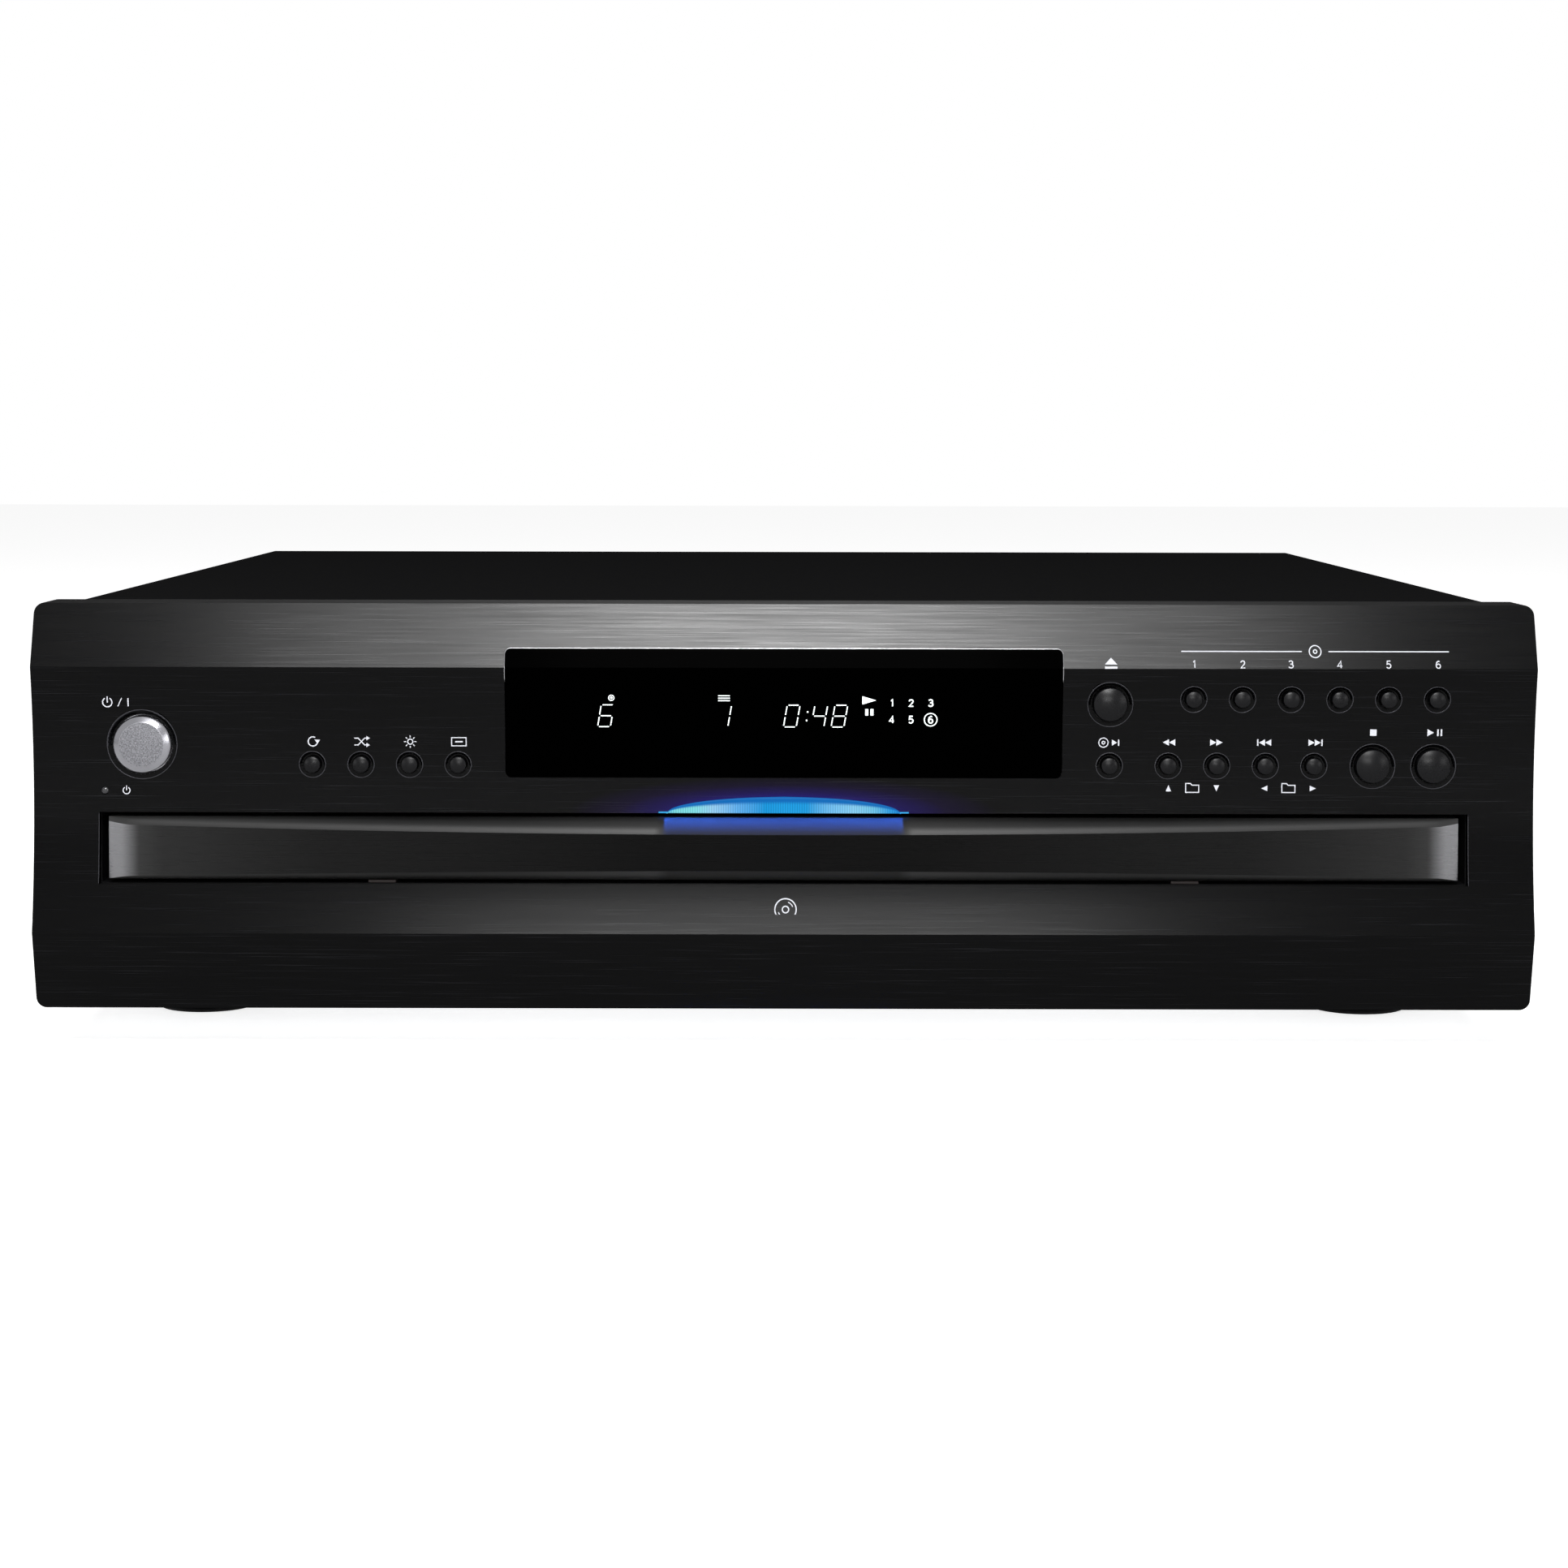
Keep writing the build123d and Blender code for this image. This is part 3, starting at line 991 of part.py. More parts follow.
def lift_tower():
    """Fixed frame round the pickup: side guides, slotted front wall and wing for the lift motor."""
    inner = PICKUP_HALF + TOWER_GAP
    outer = inner + TOWER_WALL
    rear = PICKUP_REAR + 1.5
    top = PIN_Z + LIFT + PIN_R + 1.8
    body = block(-outer, outer, TOWER_FRONT, rear, FLOOR_TOP, top)
    body -= block(-inner, inner, TOWER_FRONT + TOWER_WALL, rear + 1, FLOOR_TOP + 2, top + 1)
    wing = LIFT_GEAR_X + 13
    body += block(outer - 1, wing, TOWER_FRONT, TOWER_FRONT + TOWER_WALL, FLOOR_TOP, LIFT_GEAR_Z + 11)
    body += block(-inner - 22, -outer + 1, TOWER_FRONT, TOWER_FRONT + TOWER_WALL, FLOOR_TOP, CAM_LOW + 6)
    body += block(-inner - 22, LIFT_GEAR_X + LIFT + 10, CAM_FRONT - 2, TOWER_FRONT + 1, FLOOR_TOP,
                  CAM_LOW - 0.3)
    for side in (-1, 1):
        x0, x1 = sorted((side * (outer - 0.5), side * (outer + 9)))
        body += block(x0, x1, rear - 30, rear, FLOOR_TOP, FLOOR_TOP + 2.5)
        x0, x1 = sorted((side * (PICKUP_HALF + 0.4), side * (inner + 0.5)))
        body += block(x0, x1, STATION_Y + 20, STATION_Y + 24, FLOOR_TOP + 1, top)
        slot_x = side * PIN_X
        slot = Pos(slot_x, PIN_Z + LIFT / 2) * SlotOverall(LIFT + 2 * (PIN_R + 0.3), 2 * (PIN_R + 0.3), 90)
        body -= along_y(slot, TOWER_FRONT - 1, TOWER_FRONT + TOWER_WALL + 1)
    body -= rod_y(LIFT_GEAR_X, LIFT_GEAR_Z, TOWER_FRONT - 1, TOWER_FRONT + TOWER_WALL + 1, 1.8)
    return body


def clamper_arm():
    """Pressed steel arm that holds the clamper over the play station, standing behind the drawer."""
    front = STATION_Y - CLAMPER_FLANGE_R - 3
    half = ARM_WIDTH / 2
    base = FLOOR_TOP
    body = block(-half, half, front, ARM_LEG_Y + ARM_SHEET, ARM_Z, ARM_Z + ARM_SHEET)
    body += block(-half, half, ARM_LEG_Y, ARM_LEG_Y + ARM_SHEET, base, ARM_Z + ARM_SHEET)
    body += block(-half, half, ARM_LEG_Y, ARM_LEG_Y + 11, base, base + ARM_SHEET)
    for side in (-1, 1):
        x0, x1 = sorted((side * half, side * (half - ARM_SHEET)))
        flange_back = ARM_LEG_Y + ARM_FLANGE + 4
        web = Polyline((front, ARM_Z), (front, ARM_Z + ARM_FLANGE),
                       (ARM_LEG_Y + ARM_SHEET, ARM_Z + ARM_FLANGE), (flange_back, ARM_Z - 10),
                       (flange_back, base), (ARM_LEG_Y, base), (ARM_LEG_Y, ARM_Z), close=True)
        body += along_x(make_face(web), x0, x1)
    body -= rod_z(0, STATION_Y, ARM_Z - 1, ARM_Z + ARM_SHEET + 1, CLAMPER_R + 1.0)
    return body


def clamper():
    """Magnetic puck that hangs in the arm and presses the disc on the turntable."""
    flange_z = ARM_Z + ARM_SHEET + 0.3
    top = flange_z + 2.2
    points = [(0, CLAMPER_Z + 3.2), (CONE_R + 1.0, CLAMPER_Z + 3.2), (CONE_R + 1.6, CLAMPER_Z),
              (CLAMPER_R - 0.6, CLAMPER_Z), (CLAMPER_R, CLAMPER_Z + 0.6), (CLAMPER_R, flange_z),
              (CLAMPER_FLANGE_R, flange_z), (CLAMPER_FLANGE_R, top), (6, top), (5, top + 1.2),
              (0, top + 1.2)]
    return turned_z(points, 0, STATION_Y)


def transformer():
    """Laminated core with its winding bobbin and a foot bracket."""
    base = FLOOR_TOP
    core = block(-CORE_X / 2, CORE_X / 2, -CORE_Y / 2, CORE_Y / 2, base + 1, base + 1 + CORE_Z)
    bobbin = block(-CORE_X / 2 + 9, CORE_X / 2 - 9, -CORE_Y / 2 - 9, CORE_Y / 2 + 9, base + 6,
                   base + CORE_Z - 4)
    bobbin = fillet(bobbin.edges().filter_by(Axis.Z), 5)
    strap = block(-CORE_X / 2 - 9, CORE_X / 2 + 9, -CORE_Y / 2 + 3, CORE_Y / 2 - 3, base, base + 1.2)
    strap += block(-CORE_X / 2 - 1, CORE_X / 2 + 1, -CORE_Y / 2 + 3, CORE_Y / 2 - 3, base, base + CORE_Z + 2)
    return Pos(TRANSFORMER_X, TRANSFORMER_Y, 0) * (core + bobbin + strap)


def main_board():
    """Main board on its standoffs, with capacitors, a cooled regulator and chips."""
    x0 = BOARD_X - BOARD_WIDTH / 2
    x1 = BOARD_X + BOARD_WIDTH / 2
    y1 = REAR_FACE - SHEET - BOARD_REAR_GAP
    y0 = y1 - BOARD_LENGTH
    top = BOARD_Z + BOARD_THICKNESS
    body = block(x0, x1, y0, y1, BOARD_Z, top)
    for x in (x0 + 5, x1 - 5):
        for y in (y0 + 5, y1 - 5):
            body += rod_z(x, y, FLOOR_TOP, BOARD_Z + 0.2, 3.0)
    for count, radius in enumerate(CAPACITOR_RADII):
        body += rod_z(x0 + 14 + count * CAPACITOR_PITCH, y0 + 18, top - 0.2, top + 14 + radius, radius)
    sink = y0 + SINK_LENGTH
    body += block(x1 - 20, x1 - 6, sink, sink + SINK_LENGTH, top - 0.2, top + 20)
    for fin in range(4):
        fin_x = x1 - 18 + fin * 3.4
        body -= block(fin_x, fin_x + 1.6, sink - 1, sink + SINK_LENGTH + 1, top + 3, top + 21)
    for across, along, size in CHIPS:
        x = BOARD_X + across * BOARD_WIDTH
        y = y0 + along * BOARD_LENGTH
        body += block(x - size / 2, x + size / 2, y - size / 2, y + size / 2, top - 0.2, top + 2.2)
    return body


def jack_places():
    """X and Z of each phono socket on the rear panel."""
    low = BOARD_Z + 12
    x = BOARD_X + PHONO_SHIFT
    return [(x, low), (x, low + JACK_PITCH), (x - COAX_PITCH, low)]


def output_jacks():
    """Phono sockets in their housings and the optical socket."""
    inside = REAR_FACE - SHEET - 10
    outside = REAR_FACE + 0.1
    places = jack_places()
    (x, low), (_, high), (coax_x, _) = places
    body = block(x - 7, x + 7, outside, outside + JACK_COLLAR - 1, low - 7, high + 7)
    body += block(x - 6, x + 6, inside, REAR_FACE - SHEET - 0.1, low - 6, high + 6)
    body += block(coax_x - 7, coax_x + 7, outside, outside + JACK_COLLAR - 1, low - 7, low + 7)
    body += block(coax_x - 6, coax_x + 6, inside, REAR_FACE - SHEET - 0.1, low - 6, low + 6)
    for jack_x, jack_z in places:
        body += rod_y(jack_x, jack_z, inside + 1, REAR_FACE + JACK_REACH, JACK_R)
        body -= rod_y(jack_x, jack_z, REAR_FACE + 2, REAR_FACE + JACK_REACH + 1, 1.6)
    optical_x = coax_x - OPTICAL_PITCH
    body += block(optical_x - 4.8, optical_x + 4.8, inside, REAR_FACE + 1.5, low - 4.8, low + 4.8)
    body -= block(optical_x - 3.2, optical_x + 3.2, REAR_FACE - 4, REAR_FACE + 2, low - 3.2, low + 3.2)
    return body


def inlet_section(width, height):
    """Socket outline with its two upper corners cut."""
    cut = 4.0
    half = width / 2
    low = INLET_Z - height / 2
    high = INLET_Z + height / 2
    return make_face(Polyline((INLET_X - half, low), (INLET_X + half, low), (INLET_X + half, high - cut),
                              (INLET_X + half - cut, high), (INLET_X - half + cut, high),
                              (INLET_X - half, high - cut), close=True))


def ac_inlet():
    """Mains inlet: a flanged shell with two flat pins and no earth pin."""
    back = REAR_FACE + INLET_FLANGE
    body = along_y(inlet_section(INLET_WIDTH + 3, INLET_HEIGHT + 3), back - INLET_DEPTH - 2, back)
    body += block(INLET_X - 24, INLET_X + 24, REAR_FACE + 0.1, back, INLET_Z - 11, INLET_Z + 11)
    body -= along_y(inlet_section(INLET_WIDTH, INLET_HEIGHT), back - INLET_DEPTH, back + 1)
    for side in (-1, 1):
        x = INLET_X + side * 7
        body += block(x - 1, x + 1, back - INLET_DEPTH - 6, back - 2, INLET_Z - 2, INLET_Z + 2)
    return body


def rear_panel():
    """Steel rear panel with a foot flange and the openings for jacks and inlet."""
    inner = REAR_FACE - SHEET
    low = FLOOR_TOP + 0.2
    top = COVER_TOP - COVER_SHEET - CASE_GAP
    body = block(-BASE_HALF, BASE_HALF, inner, REAR_FACE, low, top)
    for x, z in jack_places():
        body -= rod_y(x, z, inner - 1, REAR_FACE + 1, JACK_R + 0.3)
    (_, low_z), _, (coax_x, _) = jack_places()
    optical_x = coax_x - OPTICAL_PITCH
    body -= block(optical_x - 5, optical_x + 5, inner - 1, REAR_FACE + 1, low_z - 5, low_z + 5)
    body -= along_y(inlet_section(INLET_WIDTH + 3.6, INLET_HEIGHT + 3.6), inner - 1, REAR_FACE + 1)
    for x, z in rear_screw_places() + panel_screw_places():
        body -= rod_y(x, z, inner - 1, REAR_FACE + 1, SCREW_SHANK_R + 0.1)
    return body


def rear_screw_places():
    """X and Z of the screws through the cover's rear lip."""
    z = COVER_TOP - COVER_SHEET - 6
    return [(-BASE_HALF * 0.8, z), (0, z), (BASE_HALF * 0.8, z)]


def panel_screw_places():
    """X and Z of the screws that hold the rear panel to the base."""
    z = FLOOR_TOP + FLANGE_HEIGHT / 2 + 1
    return [(-BASE_HALF * 0.9, z), (-BASE_HALF * 0.3, z), (BASE_HALF * 0.2, z), (BASE_HALF * 0.9, z)]


def side_screw_places():
    """Y and Z of the screws through each side of the cover."""
    z = FLOOR_TOP + FLANGE_HEIGHT / 2 + 1
    return [(PANEL_BACK + 40, z), (REAR_FACE - 50, z)]


def foot_places():
    """X and Y of the feet."""
    x = HALF_WIDTH - FOOT_INSET_X
    return [(side * x, FRONT + y) for side in (-1, 1) for y in (FRONT_FOOT_Y, REAR_FOOT_Y)]


def chassis_base():
    """Folded steel base with side, front and rear flanges and two banks of vents."""
    y0 = PANEL_BACK + 0.2
    y1 = REAR_FACE - SHEET - 0.2
    body = block(-BASE_HALF, BASE_HALF, y0, y1, FOOT_HEIGHT, FLOOR_TOP)
    for side in (-1, 1):
        x0, x1 = sorted((side * BASE_HALF, side * (BASE_HALF - SHEET)))
        body += block(x0, x1, y0, y1, FOOT_HEIGHT, FLOOR_TOP + FLANGE_HEIGHT)
        for y, z in side_screw_places():
            body -= rod_x(y, z, x0 - 1, x1 + 1, SCREW_SHANK_R + 0.1)
    front_top = SLOT_BOTTOM - TUNNEL_WALL - 0.6
    body += block(-BASE_HALF + 6, BASE_HALF - 6, y0, y0 + SHEET, FOOT_HEIGHT, front_top)
    body += block(-BASE_HALF, BASE_HALF, y1 - SHEET, y1, FOOT_HEIGHT, FLOOR_TOP + FLANGE_HEIGHT)
    for x, z in panel_screw_places():
        body -= rod_y(x, z, y1 - SHEET - 1, y1 + 1, SCREW_SHANK_R + 0.1)
    for bank in (-1, 1):
        for slot in range(VENTS):
            x = bank * VENT_BANK_X + (slot - (VENTS - 1) / 2) * VENT_PITCH
            body -= block(x - VENT_WIDTH / 2, x + VENT_WIDTH / 2, VENT_Y, VENT_Y + VENT_LENGTH,
                          FOOT_HEIGHT - 1, FLOOR_TOP + 1)
    for x, y in foot_places():
        body -= rod_z(x, y, FOOT_HEIGHT - 1, FLOOR_TOP + 1, SCREW_SHANK_R + 0.1)
    return body


def top_cover():
    """Folded steel cover: top, two sides and a rear lip."""
    y0 = PANEL_BACK + 0.2
    y1 = REAR_FACE + COVER_SHEET + 0.3
    low = FOOT_HEIGHT + 0.4
    bend = 2.5
    shell = rounded_bar(COVER_HALF, low - 10, COVER_TOP, bend, y0, y1)
    shell -= rounded_bar(COVER_HALF - COVER_SHEET, low - 11, COVER_TOP - COVER_SHEET, bend - COVER_SHEET,
                         y0 - 1, y1 - COVER_SHEET)
    shell &= block(-COVER_HALF, COVER_HALF, y0, y1, low, COVER_TOP)
    lip = COVER_TOP - COVER_SHEET - 11
    shell -= block(-COVER_HALF - 1, COVER_HALF + 1, y1 - COVER_SHEET, y1 + 1, low - 1, lip)
    for x, z in rear_screw_places():
        shell -= rod_y(x, z, y1 - COVER_SHEET - 1, y1 + 1, SCREW_SHANK_R + 0.1)
    for side in (-1, 1):
        x0, x1 = sorted((side * (COVER_HALF - COVER_SHEET - 1), side * (COVER_HALF + 1)))
        for y, z in side_screw_places():
            shell -= rod_x(y, z, x0, x1, SCREW_SHANK_R + 0.1)
    return shell


def feet():
    """Four moulded feet, each with a recess for its pad and screw."""
    points = [(0, FOOT_HEIGHT - 3), (5, FOOT_HEIGHT - 3), (5, PAD_THICKNESS), (PAD_R + 0.2, PAD_THICKNESS),
              (PAD_R + 0.2, 1.0), (FOOT_CONTACT_R - 0.8, 1.0), (FOOT_CONTACT_R, 1.8),
              (FOOT_R - 0.6, FOOT_HEIGHT - 4), (FOOT_R, FOOT_HEIGHT), (0, FOOT_HEIGHT)]
    group = None
    for x, y in foot_places():
        foot = turned_z(points, x, y) - rod_z(x, y, 0, FOOT_HEIGHT + 1, SCREW_SHANK_R + 0.1)
        group = foot if group is None else group + foot
    return group


def foot_pads():
    """Soft ring under each foot."""
    points = [(5.5, 0.3), (5.8, 0), (PAD_R - 0.4, 0), (PAD_R, 0.4), (PAD_R, PAD_THICKNESS),
              (5.5, PAD_THICKNESS)]
    pads = [turned_z(points, x, y) for x, y in foot_places()]
    return pads[0] + pads[1:]


def screws():
    """Screws of the cover, the rear panel and the feet."""
    pieces = []
    lip_back = REAR_FACE + COVER_SHEET + 0.3
    for x, z in rear_screw_places():
        pieces.append(screw_y(x, lip_back, z, COVER_SHEET + 0.3 + SHEET + 4))
    for x, z in panel_screw_places():
        pieces.append(screw_y(x, REAR_FACE, z, SHEET + 0.2 + SHEET + 2))
    for side in (-1, 1):
        for y, z in side_screw_places():
            x = side * COVER_HALF
            head = sorted((x, x + side * SCREW_HEAD))
            shank = sorted((x, x - side * (COVER_SHEET + CASE_GAP + SHEET + 2)))
            pieces.append(rod_x(y, z, head[0], head[1], SCREW_HEAD_R) + rod_x(y, z, shank[0], shank[1],
                                                                             SCREW_SHANK_R))
    for x, y in foot_places():
        low = FOOT_HEIGHT - 3
        pieces.append(rod_z(x, y, low - SCREW_HEAD, low, SCREW_HEAD_R)
                      + rod_z(x, y, low, FLOOR_TOP + 2, SCREW_SHANK_R))
    return pieces[0] + pieces[1:]


PARTS = {
    "fascia": fascia, "sub_panel": sub_panel, "display_window": display_window,
    "display_tube": display_tube, "front_board": front_board, "light_bar": light_bar,
    "top_cover": top_cover, "chassis_base": chassis_base, "rear_panel": rear_panel, "feet": feet,
    "foot_pads": foot_pads, "screws": screws, "transformer": transformer, "main_board": main_board,
    "output_jacks": output_jacks, "ac_inlet": ac_inlet, "drawer_tray": drawer_tray,
    "tray_front": tray_front, "carousel": carousel, "hub_cap": hub_cap, "carousel_motor": carousel_motor,
    "carousel_motor_pulley": carousel_motor_pulley, "carousel_belt": carousel_belt,
    "carousel_gear": carousel_gear, "loading_motor": loading_motor,
    "loading_motor_pinion": loading_motor_pinion, "loading_gear": loading_gear,
    "loading_idler": loading_idler, "pickup_frame": pickup_frame, "spindle_motor": spindle_motor,
    "turntable": turntable, "laser_sled": laser_sled, "guide_rods": guide_rods,
    "cam_slider": cam_slider, "lift_gear": lift_gear, "lift_motor": lift_motor,
    "lift_tower": lift_tower, "clamper_arm": clamper_arm, "clamper": clamper,
}

os.makedirs("parts", exist_ok=True)
for node, make in PARTS.items():
    export_step(make(), f"parts/{node}.step")
export_step(guide_rail(-1), "parts/guide_rail_left.step")
export_step(guide_rail(1), "parts/guide_rail_right.step")
for control, control_x, control_z, control_d in CONTROLS:
    export_step(button(control_x, control_z, control_d), f"parts/{control}.step")
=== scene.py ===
import json
from math import atan2, cos, pi, radians, sin
import bmesh
import bpy
import numpy as np
from mathutils import Matrix, Vector

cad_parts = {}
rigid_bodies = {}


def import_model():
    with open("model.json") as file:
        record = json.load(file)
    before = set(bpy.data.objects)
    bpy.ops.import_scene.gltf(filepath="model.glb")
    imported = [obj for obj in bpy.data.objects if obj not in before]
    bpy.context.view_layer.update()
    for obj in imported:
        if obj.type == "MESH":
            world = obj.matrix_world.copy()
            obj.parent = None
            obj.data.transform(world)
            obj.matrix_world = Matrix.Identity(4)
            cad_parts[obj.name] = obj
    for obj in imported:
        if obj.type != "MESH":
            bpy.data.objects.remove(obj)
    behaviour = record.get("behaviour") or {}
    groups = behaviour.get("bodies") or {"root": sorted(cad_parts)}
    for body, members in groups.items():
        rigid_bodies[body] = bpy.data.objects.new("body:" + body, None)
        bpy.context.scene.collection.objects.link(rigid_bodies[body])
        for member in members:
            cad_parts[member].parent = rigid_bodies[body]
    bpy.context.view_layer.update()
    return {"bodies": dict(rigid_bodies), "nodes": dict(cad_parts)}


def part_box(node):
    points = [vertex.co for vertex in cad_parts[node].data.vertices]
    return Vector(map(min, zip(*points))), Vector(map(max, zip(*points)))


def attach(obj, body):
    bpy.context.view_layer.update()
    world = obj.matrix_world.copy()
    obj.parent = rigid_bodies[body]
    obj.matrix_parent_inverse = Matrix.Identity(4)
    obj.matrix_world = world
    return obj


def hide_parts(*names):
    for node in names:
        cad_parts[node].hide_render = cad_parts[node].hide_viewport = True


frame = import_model()
MM = 0.001

# Panel profile, from the frame and the driving sizes of the part
PANEL_LOW, PANEL_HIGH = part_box("fascia")
FRONT = PANEL_LOW[1]
PANEL_BOTTOM = PANEL_LOW[2]
PANEL_TOP = PANEL_HIGH[2]
PANEL_HALF = PANEL_HIGH[0]
LOWER_CREASE = PANEL_BOTTOM + 22.7 * MM
UPPER_CREASE = PANEL_TOP - 18.3 * MM
TOP_LEAN = 6.3 * MM
BOTTOM_LEAN = 5.9 * MM
HOLLOW = 3.9 * MM
MID_HOLLOW = (UPPER_CREASE + LOWER_CREASE) / 2
HALF_CHORD = (UPPER_CREASE - LOWER_CREASE) / 2
HOLLOW_R = (HALF_CHORD**2 + HOLLOW**2) / (2 * HOLLOW)
SLOT_BOTTOM = LOWER_CREASE + 13.9 * MM
SLOT_TOP = SLOT_BOTTOM + 20.9 * MM
WINDOW_BOTTOM = SLOT_TOP + 10.2 * MM
WINDOW_TOP = WINDOW_BOTTOM + 37.8 * MM
WINDOW_HALF = 80.7 * MM
SLOT_HALF = PANEL_HALF - 18.9 * MM
WINDOW_RECESS = 0.25 * MM


def panel_y(z):
    """Y of the panel's face at height z: a leaning line, an arc of radius HOLLOW_R, a leaning line."""
    z = np.asarray(z, dtype=float)
    top = FRONT + (z - UPPER_CREASE) / (PANEL_TOP - UPPER_CREASE) * TOP_LEAN
    bottom = FRONT + (LOWER_CREASE - z) / (LOWER_CREASE - PANEL_BOTTOM) * BOTTOM_LEAN
    inside = np.clip(z, LOWER_CREASE, UPPER_CREASE) - MID_HOLLOW
    middle = FRONT + HOLLOW - (HOLLOW_R - np.sqrt(HOLLOW_R**2 - inside**2))
    return np.where(z > UPPER_CREASE, top, np.where(z < LOWER_CREASE, bottom, middle))


def centre(node):
    """Middle of a node's box."""
    return [(near + far) / 2 for near, far in zip(*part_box(node))]


# Meshes

def placed(name, data):
    """An object in the scene."""
    obj = bpy.data.objects.new(name, data)
    bpy.context.scene.collection.objects.link(obj)
    return obj


def new_object(name, mesh, material, body, node=None):
    """Puts a finished mesh in the scene, on its body, in place of a node where one is named."""
    obj = placed(name, mesh)
    mesh.materials.clear()
    mesh.materials.append(material)
    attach(obj, body)
    if node:
        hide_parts(node)
    return obj


def plain_mesh(name, points, faces):
    """A mesh from its points and faces."""
    mesh = bpy.data.meshes.new(name)
    mesh.from_pydata(np.reshape(points, (-1, 3)).tolist(), [], faces)
    return mesh


def grid_quads(points, close_u=False, close_v=False):
    """Vertex numbers of an array of points (u, v, 3), and its quads, one to each cell of the grid. A
    closed direction joins its last row to its first."""
    nu, nv = points.shape[:2]
    index = np.arange(nu * nv).reshape(nu, nv)
    rows = np.vstack([index, index[:1]]) if close_u else index
    rows = np.hstack([rows, rows[:, :1]]) if close_v else rows
    quads = np.stack([rows[:-1, :-1], rows[1:, :-1], rows[1:, 1:], rows[:-1, 1:]], axis=-1).reshape(-1, 4)
    return index, quads


def grid_mesh(name, points, close_u=False, close_v=False, caps=False):
    """A surface from an array of points (u, v, 3). With caps, the first and last u rows are filled."""
    index, quads = grid_quads(points, close_u, close_v)
    faces = quads.tolist()
    if caps:
        faces.append(index[0].tolist())
        faces.append(index[-1][::-1].tolist())
    mesh = plain_mesh(name, points, faces)
    tidy(mesh)
    return mesh


def tidy(mesh, smooth=True, sharp=35.0):
    """Merges doubles, turns the faces outwards and shades smooth up to the sharp angle."""
    work = bmesh.new()
    work.from_mesh(mesh)
    bmesh.ops.remove_doubles(work, verts=work.verts, dist=1e-7)
    bmesh.ops.dissolve_degenerate(work, edges=work.edges, dist=1e-8)
    bmesh.ops.recalc_face_normals(work, faces=work.faces)
    work.to_mesh(mesh)
    work.free()
    mesh.polygons.foreach_set("use_smooth", np.full(len(mesh.polygons), smooth))
    if smooth:
        mesh.set_sharp_from_angle(angle=radians(sharp))
    mesh.update()


def full_turn(steps):
    """Angles of one turn, as a column."""
    return np.linspace(0, 2 * pi, steps, endpoint=False)[:, None]


def revolved(name, profile, first, second, steps=64, upright=False):
    """A solid of revolution about a line along Y through (x, z): the point at angle t of a profile
    point (r, y) is (x + r cos t, y, z + r sin t). An upright one has y and z exchanged."""
    radius, along = np.array(profile).T
    angle = full_turn(steps)
    across = first + radius * np.cos(angle)
    raised = second + radius * np.sin(angle)
    level = along + 0 * angle
    points = np.stack([across, raised, level] if upright else [across, level, raised], axis=-1)
    return grid_mesh(name, points, close_u=True)


def curved(start, pull, end, steps):
    """For each row, points of the curve (1-t)^2 start + 2 t (1-t) pull + t^2 end."""
    t = np.linspace(0, 1, steps)[None, :, None]
    return (1 - t) ** 2 * start[:, None] + 2 * t * (1 - t) * pull[:, None] + t**2 * end[:, None]


def rounded_profile(corners, radius, steps=4):
    """A profile whose inner corners are rounded: each is replaced by a curve that starts and ends
    radius away from it and is pulled towards it."""
    corners = np.array(corners, dtype=float)
    before = corners[:-2] - corners[1:-1]
    after = corners[2:] - corners[1:-1]
    before_length = np.linalg.norm(before, axis=1, keepdims=True)
    after_length = np.linalg.norm(after, axis=1, keepdims=True)
    reach = np.minimum(radius, np.minimum(before_length, after_length) * 0.45)
    start = corners[1:-1] + before / before_length * reach
    end = corners[1:-1] + after / after_length * reach
    curve = curved(start, corners[1:-1], end, steps)
    return np.vstack([corners[:1], curve.reshape(-1, 2), corners[-1:]])


def dressed(node, material, body):
    """A merged copy of a CAD node, shaded smooth on its curved faces, in place of that node."""
    mesh = frame["nodes"][node].data.copy()
    mesh.name = node + "_finish"
    tidy(mesh, sharp=28.0)
    obj = new_object(node + "_finish", mesh, material, body, node)
    weighted = obj.modifiers.new("flat faces stay flat", "WEIGHTED_NORMAL")
    weighted.keep_sharp = True
    return obj


# Shader groups

